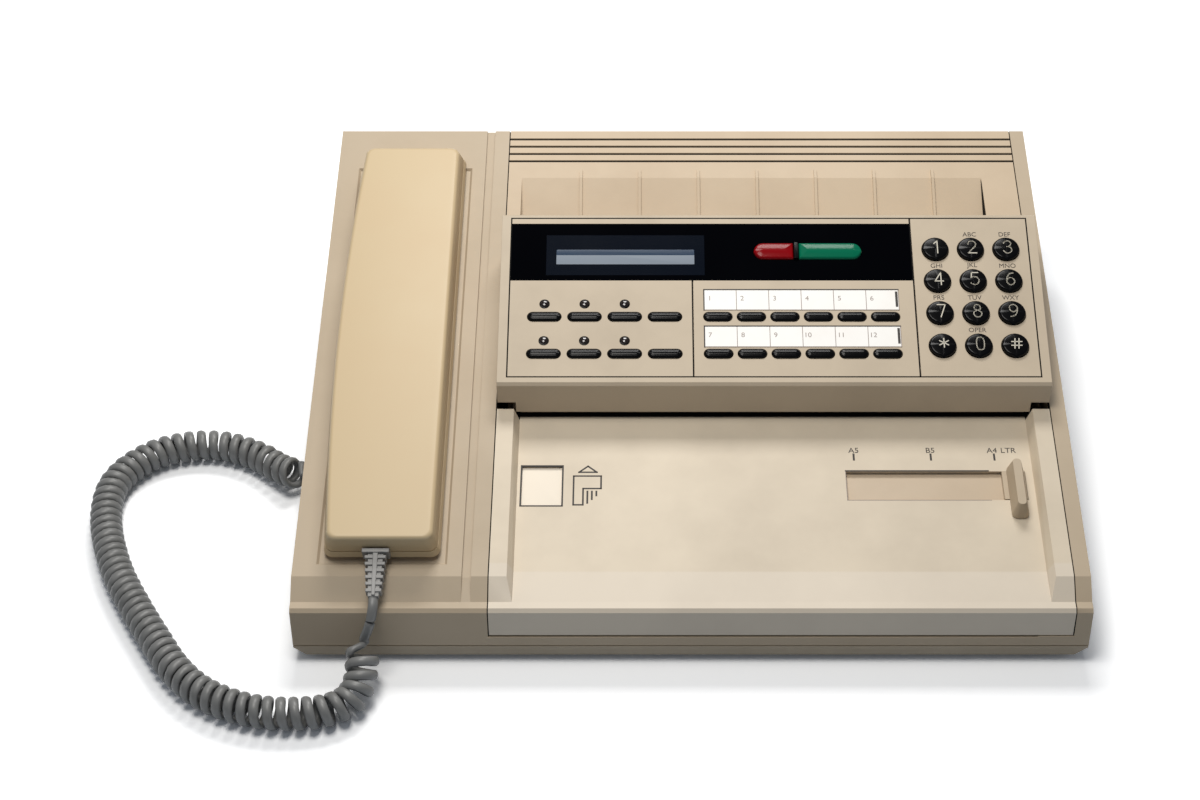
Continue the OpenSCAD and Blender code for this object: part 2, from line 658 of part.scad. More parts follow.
module ramp_ribs() {
  middle = (ramp_x0 + ramp_x1) / 2 + 2.5;
  for (i = [0:rib_count - 1]) {
    x = middle + (i - (rib_count - 1) / 2) * rib_pitch;
    across(x - rib_w / 2, x + rib_w / 2) polygon([[ramp_foot_d + 1, ramp_z(ramp_foot_d) - 1],
      [ramp_foot_d + 1, ramp_z(ramp_foot_d) + rib_h / 2], [ramp_foot_d + 3, ramp_z(ramp_foot_d + 3) + rib_h],
      [ramp_d - 1, ramp_z(ramp_d - 1) + rib_h], [ramp_d + 4.6, deck_z(ramp_d + 4.6) + rib_h * 0.8],
      [ramp_d + 4.6, deck_z(ramp_d + 4.6) - 1], [ramp_d, deck_z(ramp_d) - 1]]);
  }
}

module document_table() {
  color(case_colour) difference() {
    union() {
      across(table_x0, table_x1) table_outline(rail_end_d);
      across(table_in0, table_in1) table_outline(table_end_d);
      table_rail(table_x0, table_x0 + rail_w, table_x0, table_in0);
      table_rail(table_x1 - rail_w, table_x1, table_in1, table_x1);
      bar(table_x0 - seam_gap - wall - 0.2, table_x0 + 2, table_pin_d, table_pin_z, table_pin_r);
      bar(table_x1 - 2, table_x1 + seam_gap + rim_wall + 0.2, table_pin_d, table_pin_z, table_pin_r);
      on_table() block([slot_x0 - 3, slot_s - 3, -4], [slot_x1 + 3, slot_s + slot_l + 3, -1]);
    }
    on_table() block([table_in0 + window_x, window_s, -10],
      [table_in0 + window_x + window_w, window_s + window_l, 10]);
    on_table() block([slot_x0, slot_s, -2.2], [slot_x1, slot_s + slot_l, 10]);
    on_table() block([slot_x0, slot_s - 1, -2.2], [slot_x1, slot_s + slot_l + 1, -0.9]);
  }
}

// The table from the side, up to a rear end
module table_outline(end_d) {
  foot_z = strip_z + seam_gap + 0.6;
  low_front = 0.35 + seam_gap;
  polygon([[low_front, foot_z], [front_lean - 0.3, lip_z - edge_cut], [front_lean + edge_cut - 0.3, lip_z],
    [ledge_d, lip_z + 0.2], [table_d0, table_z0], [end_d, table_z(end_d)], [end_d, table_z(end_d) - table_t],
    [table_d0 + 0.3, table_z0 - table_t], [ledge_d, lip_z + 0.2 - table_t], [front_lean + wall, lip_z - wall],
    [low_front + wall, foot_z]]);
}

// Side rail: top between a0 and a1, foot between b0 and b1
module table_rail(a0, a1, b0, b1) {
  crest = 0.05;
  hull() {
    across(a0, a1) polygon([[deck_d, deck_z0], [rail_end_d, deck_z(rail_end_d)],
      [rail_end_d, deck_z(rail_end_d) - crest], [deck_d, deck_z0 - crest]]);
    across(b0, b1) polygon([[ledge_d, lip_z + 0.2], [rail_end_d, table_z(rail_end_d)],
      [rail_end_d, table_z(rail_end_d) - table_t], [table_d0, table_z0 - table_t], [ledge_d, lip_z - table_t + 0.2]]);
  }
}

module width_guide() {
  x0 = slot_x1 - slide_gap - foot_w;
  x1 = slot_x1 - slide_gap;
  mid_s = slot_s + slot_l / 2;
  fin_s = mid_s - fin_l / 2 - 4;
  color(case_colour) on_table() {
    block([x0, slot_s - 0.7, -1.95], [x1, slot_s + slot_l + 0.7, -1.2]);
    block([x0, slot_s + slide_gap, -1.3], [x1, slot_s + slot_l - slide_gap, slide_gap]);
    hull() {
      rounded(guide_face_x - 1.6, x1 - 0.6, fin_s, fin_s + fin_l, 2.4, slide_gap, 1);
      rounded(guide_face_x, guide_face_x + 3.6, fin_s + 1.5, fin_s + fin_l - 2, 1.6, fin_h - 1, 1);
    }
  }
}

module panel_housing() {
  rear = [hinge_d + 3.6, hinge_z + 1.5];
  sole = [hinge_d + 2.4, hinge_z + 0.5];
  outer = [[apron_d, apron_z], [apron_d, panel_z - 1.4], [apron_d + 1, panel_z], pl(panel_l - 1, 0),
    pl(panel_l + 0.2, -1.2), rear, sole];
  inner = [[apron_d + wall, apron_z + 2.8], [apron_d + wall, pl(2, -house_t)[1]], pl(2.4, -house_t),
    pl(panel_l - wall - 1, -house_t), [rear[0] - wall - 1, rear[1] + 2.8]];
  notch_top = deck_z(rail_end_d) + 3.4;
  notch_in = rail_w + 0.6;
  post_s = [board_s0 + 4, (board_s0 + board_s1) / 2, board_s1 - 4];
  color(panel_colour) difference() {
    union() {
      difference() {
        across(house_x0, house_x1) polygon(outer);
        difference() {
          across(house_x0 + wall, house_x1 - wall) polygon(inner);
          for (x = [house_x0, house_x1 - notch_in - 3])
            across(x, x + notch_in + 3) translate([apron_d, apron_z - 5]) square([10, notch_top - apron_z + 8]);
        }
        for (x = [house_x0 - 1, house_x1 - notch_in])
          across(x, x + notch_in + 1) translate([apron_d - 5, apron_z - 5])
            polygon([[0, 0], [12.5, 0], [12.5, notch_top - apron_z + 5], [0, notch_top - apron_z + 5]]);
      }
      for (x = [house_x0, house_x1 - wall]) bar(x, x + wall, hinge_d, hinge_z, ear_r);
      on_panel() for (x = [house_x0 + wall, house_x1 - wall], s = post_s)
        translate([x, s, board_n + board_t]) cylinder(h = -house_t - board_n - board_t + eps, r = 2);
    }
    on_panel() block([plate_x0 - seam_gap / 2, plate_s0 - seam_gap / 2, -plate_t],
      [plate_x1 + seam_gap / 2, plate_s1 + seam_gap / 2, 5]);
    on_panel() block([plate_x0 + 2, plate_s0 + 2, -house_t - 1], [plate_x1 - 2, plate_s1 - 2, 5]);
  }
  color(panel_colour) {
    bar(mod_x0 - pin_l, house_x0 + 1, hinge_d, hinge_z, panel_pin_r);
    bar(house_x1 - 1, mod_x1 + rim_wall + 0.3, hinge_d, hinge_z, panel_pin_r);
  }
}

// Outline of a pill key w wide with round or square ends
module pill(w, l, left, right) {
  square([w - l, l], center = true);
  for (side = [[-1, left], [1, right]]) translate([side[0] * (w - l) / 2, 0])
    if (side[1]) circle(l / 2); else square([l, l], center = true);
}

function keypad_at(i) = [keypad_x + (i % 3) * keypad_px, keypad_s - floor(i / 3) * keypad_ps];
function function_at(i) = [function_x + (i % 4) * function_pitch, row_s - floor(i / 4) * row_pitch];
function touch_at(i) = [touch_x + (i % 6) * touch_pitch, row_s - floor(i / 6) * row_pitch];
led_places = [for (i = [0, 1, 2, 4, 5, 6]) [function_at(i)[0], function_at(i)[1] + led_s - row_s]];

// Openings in the key plate and the display window that the keys and lights need
module key_openings() {
  for (i = [0:11]) translate(keypad_at(i)) circle(round_key_d / 2 + key_gap);
  for (i = [0:7]) translate(function_at(i)) pill(function_key_w + 2 * key_gap, pill_l + 2 * key_gap, true, true);
  for (i = [0:11]) translate(touch_at(i)) pill(touch_key_w + 2 * key_gap, pill_l + 2 * key_gap, true, true);
  for (p = led_places) translate(p) circle(led_d / 2 + 0.2);
  bar_openings();
}

module bar_openings() {
  translate([stop_x, bar_s]) pill(stop_w + 2 * key_gap, bar_l + 2 * key_gap, true, false);
  translate([start_x, bar_s]) pill(start_w + 2 * key_gap, bar_l + 2 * key_gap, false, true);
}

module key_plate() {
  line = 0.5;
  color(panel_colour) on_panel() difference() {
    block([plate_x0, plate_s0, -plate_t], [plate_x1, plate_s1, 0]);
    translate([0, 0, -plate_t - 1]) linear_extrude(plate_t + 2) key_openings();
    translate([lcd_x, lcd_s, -plate_t - 1]) linear_extrude(plate_t + 2)
      square([lcd_w + 0.6, lcd_l + 0.6], center = true);
    block([plate_x0 - 1, display_s0 - 0.15, -display_t], [key_split_x + 0.15, display_s1 + 0.15, 1]);
    block([key_split_x, plate_s0 - 1, -0.6], [key_split_x + line, plate_s1 + 1, 1]);
    block([plate_x0 + function_w, plate_s0 - 1, -0.6], [plate_x0 + function_w + line, display_s0, 1]);
    for (k = [0, 1]) block([label_x0 - 0.15, label_s - k * row_pitch - label_l / 2 - 0.15, -label_t],
      [label_x0 + label_w + 0.15, label_s - k * row_pitch + label_l / 2 + 0.15, 1]);
  }
}
label_x0 = touch_x - touch_key_w / 2 + 0.2;

module display_window() {
  color(key_colour) on_panel() difference() {
    block([plate_x0, display_s0, -display_t], [key_split_x - 0.1, display_s1, 0]);
    translate([0, 0, -display_t - 1]) linear_extrude(display_t + 2) bar_openings();
    translate([lcd_x, lcd_s, -display_t - 1]) linear_extrude(display_t + 2)
      square([lcd_w, lcd_l], center = true);
  }
}

module label_strips() {
  color("#e4e2dc") on_panel() for (k = [0, 1])
    block([label_x0, label_s - k * row_pitch - label_l / 2, -label_t],
      [label_x0 + label_w, label_s - k * row_pitch + label_l / 2, 0.1]);
}

module panel_board() {
  top = board_n + board_t;
  switch_n = -plate_t - key_clear - flange - 0.5 - key_travel - 0.1;
  color(board_colour) on_panel() {
    block([house_x0 + wall + 0.2, board_s0, board_n], [house_x1 - wall - 0.2, board_s1, top]);
    translate([lcd_x, lcd_s, top - eps]) linear_extrude(-plate_t - top - 0.3)
      square([lcd_w + 6, lcd_l + 6], center = true);
    translate([lcd_x, lcd_s, -plate_t - 1]) linear_extrude(plate_t + 1 - display_t - 0.05)
      square([lcd_w - 0.2, lcd_l - 0.2], center = true);
    for (p = led_places) translate([p[0], p[1], top - eps]) {
      cylinder(h = -top + 2 * eps, r = led_d / 2);
      translate([0, 0, -top + eps]) cylinder(h = 0.7, r1 = led_d / 2, r2 = led_d / 4);
    }
    for (p = concat([for (i = [0:11]) keypad_at(i)], [for (i = [0:7]) function_at(i)],
        [for (i = [0:11]) touch_at(i)], [[stop_x, bar_s], [start_x, bar_s]]))
      translate([p[0], p[1], top - eps]) linear_extrude(switch_n - top + eps) square(5, center = true);
  }
}

// One key: its cap above the plate, a flange that stops under the plate and a stem
module push_key(at, height) {
  on_panel() translate([at[0], at[1], 0]) {
    translate([0, 0, -plate_t - key_clear]) linear_extrude(height + plate_t + key_clear - 0.4) children(0);
    translate([0, 0, height - 0.4 - eps]) linear_extrude(0.4 + eps) children(1);
    translate([0, 0, -plate_t - key_clear - flange]) linear_extrude(flange + eps) children(2);
    translate([0, 0, -plate_t - key_clear - flange - 0.5]) cylinder(h = 1, r = 1.5);
  }
}

module keypad_key(i) {
  color(key_colour) push_key(keypad_at(i), round_key_h) {
    circle(round_key_d / 2);
    circle(round_key_d / 2 - 0.5);
    circle(round_key_d / 2 + 1);
  }
}

module pill_key(at, w) {
  color(key_colour) push_key(at, pill_h) {
    pill(w, pill_l, true, true);
    pill(w - 0.8, pill_l - 0.8, true, true);
    pill(w + 1.6, pill_l + 1.6, true, true);
  }
}

module bar_key(x, w, left, colour) {
  color(colour) push_key([x, bar_s], pill_h) {
    pill(w, bar_l, left, !left);
    pill(w - 0.8, bar_l - 0.8, left, !left);
    pill(w + 1.6, bar_l + 1.6, left, !left);
  }
}

// Tapering body between two heights n0 and n1 above the deck, each side inset by t
module handset_form(n0, n1, t) {
  flare0 = handset_flare * (handset_top - n0) / (handset_top - handset_rest);
  flare1 = handset_flare * (handset_top - n1) / (handset_top - handset_rest);
  tail0 = handset_tail * (n0 - handset_rest) / (handset_top - handset_rest);
  tail1 = handset_tail * (n1 - handset_rest) / (handset_top - handset_rest);
  half = handset_w / 2 - t;
  far = handset_s + handset_l - t;
  bow_s = handset_s + 0.35 * handset_l;
  bow_l = 0.3 * handset_l;
  soft = n1 >= handset_top - eps ? 1.2 : 0;
  on_deck() hull() {
    rounded(handset_mid - half - flare0, handset_mid + half + flare0, handset_s + t, far - tail0, 4, n0, 0.1);
    rounded(handset_mid - half - flare1, handset_mid + half + flare1, handset_s + t, far - tail1, 4,
      n1 - soft - 0.1, 0.1);
    rounded(handset_mid - half - flare1 + soft, handset_mid + half + flare1 - soft, handset_s + t + soft,
      far - tail1 - soft, 4, n1 - 0.1, 0.1);
    block([handset_mid - half - flare0 - handset_bow, bow_s, n0], [handset_mid, bow_s + bow_l, n0 + 0.1]);
    block([handset_mid - half - flare1 - handset_bow, bow_s, n1 - soft - 0.1],
      [handset_mid, bow_s + bow_l, n1 - soft]);
    block([handset_mid - half - flare1 - handset_bow + soft, bow_s, n1 - 0.1], [handset_mid, bow_s + bow_l, n1]);
  }
}

module handset_upper_shell() {
  color(handset_colour) difference() {
    handset_form(handset_part, handset_top, 0);
    handset_form(handset_part - 1, handset_top - shell_t, shell_t);
  }
}

module handset_lower_shell() {
  color(handset_colour) difference() {
    union() {
      handset_form(handset_rest, handset_part, 0);
      on_deck() for (s = [mouth_s, ear_s]) translate([handset_mid, s, -capsule_t]) {
        cylinder(h = capsule_t + handset_rest + 1, r = capsule_r);
      }
    }
    difference() {
      handset_form(handset_rest + shell_t, handset_part + 1, shell_t);
      on_deck() translate([handset_mid - 30, handset_s + shell_t, handset_rest]) cube([60, 6, 10]);
    }
    on_deck() for (s = [mouth_s, ear_s]) translate([handset_mid, s, -capsule_t + shell_t])
      cylinder(h = capsule_t + handset_part, r = capsule_r - shell_t);
    on_deck() for (s = [mouth_s, ear_s], a = [0:60:300]) translate([handset_mid, s, -capsule_t - 1])
      rotate(a) translate([6, 0, 0]) cylinder(h = shell_t + 2, r = 1);
  }
}

module strain_relief() {
  color(cord_colour) on_deck() difference() {
    translate(boot_start) rotate([90 + boot_drop, 0, 0]) {
      translate([0, 0, -1.5]) cylinder(h = 3.4, d1 = boot_d + 2, d2 = boot_d + 1.6);
      cylinder(h = boot_l, d1 = boot_d, d2 = strand_d + 1.8);
    }
    translate([boot_start.x - boot_d, handset_s - boot_gap, -boot_d]) cube(3 * boot_d);
  }
}

module cord_lead() {
  color(cord_colour) {
    tube(lead_route, strand_d, 3, 10);
    tube(jack_route, strand_d, 3, 10);
    block([-body_w / 2 - 2, jack_y - 4.5, jack_z - 3], [-body_w / 2 + 1.5, jack_y + 4.5, jack_z + 3]);
  }
}

module cord_coil() {
  color(cord_colour) tube(coil_route, coil_d, 2, 12);
}

module hook_plunger() {
  color("#d9d4c6") on_deck() translate([handset_mid, hook_s, 0]) {
    translate([0, 0, hook_flange_n]) cylinder(h = handset_rest - 0.3 - hook_flange_n, r = hook_r);
    translate([0, 0, hook_flange_n - 2]) cylinder(h = 2, r = hook_r + 2);
  }
}

module rubber_feet() {
  color(rubber_colour) for (x = [-1, 1], y = [-1, 1])
    translate([x * (body_w / 2 - 28), y * (body_d / 2 - 22), 0]) cylinder(h = foot_h, r1 = 7, r2 = 8);
}

module case_screws() {
  color(steel_colour) screw_places() {
    translate([0, 0, foot_h + 0.5]) cylinder(h = 1.9, r = 2 * screw_r);
    translate([0, 0, foot_h + 2.3]) cylinder(h = seam_z + screw_h - 2 - foot_h - 2.3, r = screw_r);
  }
}

module main_board() {
  chips = [[20, 15, 22, 14, 3], [60, 20, 30, 30, 3.4], [110, 16, 26, 12, 3], [110, 38, 26, 12, 3],
    [18, 45, 16, 30, 3], [154, 20, 30, 22, 12], [64, 66, 40, 8, 9], [130, 68, 30, 8, 9], [174, 60, 14, 14, 16]];
  color(board_colour) {
    block([main_x0, main_d0 - body_d / 2, main_z], [main_x1, main_d1 - body_d / 2, main_z + board_t]);
    for (c = chips) translate([main_x0 + c[0], main_d0 + c[1] - body_d / 2, main_z + board_t - eps])
      cube([c[2], c[3], c[4]]);
  }
}

module power_supply() {
  x0 = screw_x0 + 6;
  x1 = screw_x1 - 6;
  y0 = body_d / 2 - 126;
  vent_pitch = 12;
  color(steel_colour) difference() {
    block([x0, y0, floor_z], [x1, y0 + 96, floor_z + supply_h]);
    for (i = [0:6]) translate([x0 + 8, y0 + 10 + i * vent_pitch, floor_z + supply_h - 2])
      cube([x1 - x0 - 16, vent_pitch / 3, 4]);
  }
}

module paper_roll() {
  color("#f1efe8") difference() {
    bar(roller_x0 + 1, roller_x0 + 1 + sheet_max, roll_d, floor_z + 0.4 + roll_r, roll_r);
    bar(roller_x0, roller_x0 + 2 + sheet_max, roll_d, floor_z + 0.4 + roll_r, core_r);
  }
}

// Roller with its shaft and a gear on the right
module roller(d, z, r, shaft_r, teeth, phase) {
  color(rubber_colour) {
    bar(roller_x0, roller_x1, d, z, r);
    bar(bearing_x0 - 1, gear_x + gear_w + 0.6, d, z, shaft_r);
    translate([gear_x, d - body_d / 2, z]) rotate([90, 0, 90]) rotate(phase) linear_extrude(gear_w) gear2d(teeth);
  }
}

module platen_roller() {
  roller(platen_d, platen_z, platen_r, platen_shaft_r, platen_teeth, mesh_angle);
}

module feed_roller() {
  roller(feed_d, feed_z, feed_r, feed_shaft_r, feed_teeth, mesh_angle + 180 + 180 / feed_teeth);
}

module image_sensor() {
  top = guide_top(sensor_d);
  color(key_colour) across(roller_x0, roller_x1) polygon([[sensor_d - sensor_l / 2, sensor_foot],
    [sensor_d + sensor_l / 2, sensor_foot], [sensor_d + sensor_l / 2, top - 1], [sensor_d + 5, top],
    [sensor_d - 5, top], [sensor_d - sensor_l / 2, top - 1]]);
}

module thermal_head() {
  top = platen_z - platen_r - 0.3;
  color(steel_colour) across(roller_x0 + 1, roller_x1 - 1) polygon([[platen_d - 12, floor_z], [platen_d + 6, floor_z],
    [platen_d + 6, top - 2], [platen_d + 3, top], [platen_d - 3, top], [platen_d - 8, top - 4], [platen_d - 12, top - 4]]);
}

module drive_unit() {
  x0 = gear_x + gear_w + 1;
  color(steel_colour) {
    across(x0, mod_x1 - seam_gap - 1) polygon([[motor_d - 42, floor_z], [motor_d + motor_r, floor_z],
      [motor_d + motor_r, motor_z + motor_r], [motor_d - 16, apron_z - 5], [motor_d - 42, apron_z - 8]]);
    bar(gear_x - 22, x0 + eps, motor_d, motor_z, motor_r);
  }
}

base_pan();
upper_case();
rear_cover();
panel_housing();
key_plate();
display_window();
label_strips();
panel_board();
document_table();
width_guide();
handset_upper_shell();
handset_lower_shell();
strain_relief();
cord_lead();
cord_coil();
hook_plunger();
rubber_feet();
case_screws();
main_board();
power_supply();
paper_roll();
platen_roller();
feed_roller();
image_sensor();
thermal_head();
drive_unit();
bar_key(stop_x, stop_w, true, "#b3202a");  // stop_key
bar_key(start_x, start_w, false, "#1b7a5c");  // start_key
for (i = [1:12])
  keypad_key(i - 1);
for (i = [1:8])
  pill_key(function_at(i - 1), function_key_w);
for (i = [1:12])
  pill_key(touch_at(i - 1), touch_key_w);
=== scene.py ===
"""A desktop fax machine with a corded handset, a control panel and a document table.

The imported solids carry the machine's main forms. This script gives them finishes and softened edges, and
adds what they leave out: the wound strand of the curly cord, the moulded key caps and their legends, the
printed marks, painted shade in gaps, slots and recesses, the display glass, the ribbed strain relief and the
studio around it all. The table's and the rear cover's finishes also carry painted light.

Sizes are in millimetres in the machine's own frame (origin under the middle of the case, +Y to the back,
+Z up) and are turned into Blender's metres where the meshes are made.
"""

import json
import logging
import math
from dataclasses import dataclass
from enum import Enum
from typing import ClassVar, Iterable, Sequence

import bmesh
import bpy
from mathutils import Matrix, Vector

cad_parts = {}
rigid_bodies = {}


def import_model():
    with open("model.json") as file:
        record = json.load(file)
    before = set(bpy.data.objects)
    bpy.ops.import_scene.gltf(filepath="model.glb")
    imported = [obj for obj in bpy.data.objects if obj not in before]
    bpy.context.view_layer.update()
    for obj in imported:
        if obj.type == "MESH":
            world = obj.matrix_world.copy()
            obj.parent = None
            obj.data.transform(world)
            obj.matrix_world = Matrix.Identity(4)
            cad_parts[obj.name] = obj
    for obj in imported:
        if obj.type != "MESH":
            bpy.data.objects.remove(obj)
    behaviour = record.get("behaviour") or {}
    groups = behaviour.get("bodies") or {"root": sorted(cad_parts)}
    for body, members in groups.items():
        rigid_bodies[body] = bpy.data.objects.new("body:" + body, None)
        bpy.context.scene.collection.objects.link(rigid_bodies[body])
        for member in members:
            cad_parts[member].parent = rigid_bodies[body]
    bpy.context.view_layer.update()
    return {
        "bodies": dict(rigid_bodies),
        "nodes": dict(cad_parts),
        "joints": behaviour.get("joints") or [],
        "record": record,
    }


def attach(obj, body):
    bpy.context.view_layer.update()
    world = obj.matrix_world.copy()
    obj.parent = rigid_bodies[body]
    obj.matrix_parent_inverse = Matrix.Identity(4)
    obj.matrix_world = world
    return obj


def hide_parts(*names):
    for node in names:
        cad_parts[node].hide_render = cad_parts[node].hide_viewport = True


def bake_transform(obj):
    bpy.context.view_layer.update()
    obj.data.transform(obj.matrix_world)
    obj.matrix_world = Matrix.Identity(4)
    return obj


LOG = logging.getLogger("fax_machine")
MM = 0.001
BODY_DEPTH = 276.0

Colour = tuple[float, float, float]
Point2 = tuple[float, float]


def set_inputs(node: bpy.types.Node, values: dict[str, float | tuple]) -> bpy.types.Node:
    """Sets inputs of a shader node.

    Args:
        node: The node.
        values: Value of each input by its name.

    Returns:
        The same node.
    """
    for name, value in values.items():
        node.inputs[name].default_value = value
    return node


@dataclass(frozen=True)
class Finish:
    """How a surface looks.

    Attributes:
        name: Name of the Blender material.
        colour: Main colour, linear.
        roughness: Mean roughness.
        stain: Second colour, which large soft patches drift towards.
        stain_share: How strongly the patches show, 0 to 1.
        stain_size: Size of the patches in millimetres.
        grain: Depth of the fine moulded texture in millimetres.
        grain_size: Size of the texture's grains in millimetres.
        coat: Weight of a clear coat.
        metallic: Metallic share.
        specular: Specular level.
        painted_sheen: Colour of a painted sheen, a paler strip before the line painted_sheen_to that stands
            for light reflected off the front lip, or None.
        painted_sheen_to: That line's place along the machine's depth in millimetres.
    """

    name: str
    colour: Colour
    roughness: float
    stain: Colour = (0.2, 0.17, 0.13)
    stain_share: float = 0.15
    stain_size: float = 60.0
    grain: float = 0.02
    grain_size: float = 0.7
    coat: float = 0.0
    metallic: float = 0.0
    specular: float = 0.5
    painted_sheen: Colour | None = None
    painted_sheen_to: float = 0.0

    def build(self) -> bpy.types.Material:
        """Makes the material with its node tree.

        Returns:
            The finished material.
        """
        material = bpy.data.materials.new(self.name)
        material.use_nodes = True
        nodes, links = material.node_tree.nodes, material.node_tree.links
        shader = set_inputs(nodes["Principled BSDF"], {
            "Base Color": (*self.colour, 1.0), "Metallic": self.metallic,
            "Specular IOR Level": self.specular, "Coat Weight": self.coat, "Coat Roughness": 0.08})
        place = nodes.new("ShaderNodeTexCoord")

        patches = set_inputs(nodes.new("ShaderNodeTexNoise"), {
            "Scale": 1.0 / (self.stain_size * MM), "Detail": 5.0, "Roughness": 0.62})
        links.new(place.outputs["Object"], patches.inputs["Vector"])
        if self.stain_share:
            ground = self._stained(nodes, links, patches)
            # painted sheen: a paler strip standing for light reflected off the front lip
            if self.painted_sheen:
                ground = self._painted_sheen(nodes, links, place, ground)
            links.new(ground, shader.inputs["Base Color"])

        gloss = set_inputs(nodes.new("ShaderNodeMapRange"), {
            "To Min": self.roughness - 0.05, "To Max": self.roughness + 0.07})
        links.new(patches.outputs["Fac"], gloss.inputs["Value"])
        links.new(gloss.outputs["Result"], shader.inputs["Roughness"])
        if self.grain:
            grains = set_inputs(nodes.new("ShaderNodeTexNoise"), {
                "Scale": 1.0 / (self.grain_size * MM), "Detail": 2.0})
            links.new(place.outputs["Object"], grains.inputs["Vector"])
            bump = set_inputs(nodes.new("ShaderNodeBump"), {"Strength": 0.35, "Distance": self.grain * MM})
            links.new(grains.outputs["Fac"], bump.inputs["Height"])
            links.new(bump.outputs["Normal"], shader.inputs["Normal"])
        return material

    def _stained(self, nodes: bpy.types.Nodes, links: bpy.types.NodeLinks,
                 patches: bpy.types.Node) -> bpy.types.NodeSocket:
        """Lets the main colour drift towards the stain in patches.

        Args:
            nodes: The material's nodes.
            links: Its links.
            patches: The noise that places the patches.

        Returns:
            The mixed colour.
        """
        spread = set_inputs(nodes.new("ShaderNodeMapRange"), {
            "From Min": 0.42, "From Max": 0.72, "To Max": self.stain_share})
        links.new(patches.outputs["Fac"], spread.inputs["Value"])
        tint = nodes.new("ShaderNodeMix")
        tint.data_type = "RGBA"
        set_inputs(tint, {"A": (*self.colour, 1.0), "B": (*self.stain, 1.0)})
        links.new(spread.outputs["Result"], tint.inputs["Factor"])
        return tint.outputs["Result"]

    def _painted_sheen(self, nodes: bpy.types.Nodes, links: bpy.types.NodeLinks, place: bpy.types.Node,
              ground: bpy.types.NodeSocket) -> bpy.types.NodeSocket:
        """Mixes the painted sheen, a paler strip that stands for light reflected off the front lip, into the
        colour.

        Args:
            nodes: The material's nodes.
            links: Its links.
            place: The texture coordinates.
            ground: The colour so far.

        Returns:
            The mixed colour.
        """
        split = nodes.new("ShaderNodeSeparateXYZ")
        links.new(place.outputs["Object"], split.inputs["Vector"])
        strip = set_inputs(nodes.new("ShaderNodeMapRange"), {
            "From Min": (self.painted_sheen_to + 0.6) * MM, "From Max": (self.painted_sheen_to - 0.6) * MM, "To Max": 0.5})
        strip.interpolation_type = "SMOOTHSTEP"
        links.new(split.outputs["Y"], strip.inputs["Value"])
        mixed = nodes.new("ShaderNodeMix")
        mixed.data_type = "RGBA"
        set_inputs(mixed, {"B": (*self.painted_sheen, 1.0)})
        links.new(strip.outputs["Result"], mixed.inputs["Factor"])
        links.new(ground, mixed.inputs["A"])
        return mixed.outputs["Result"]


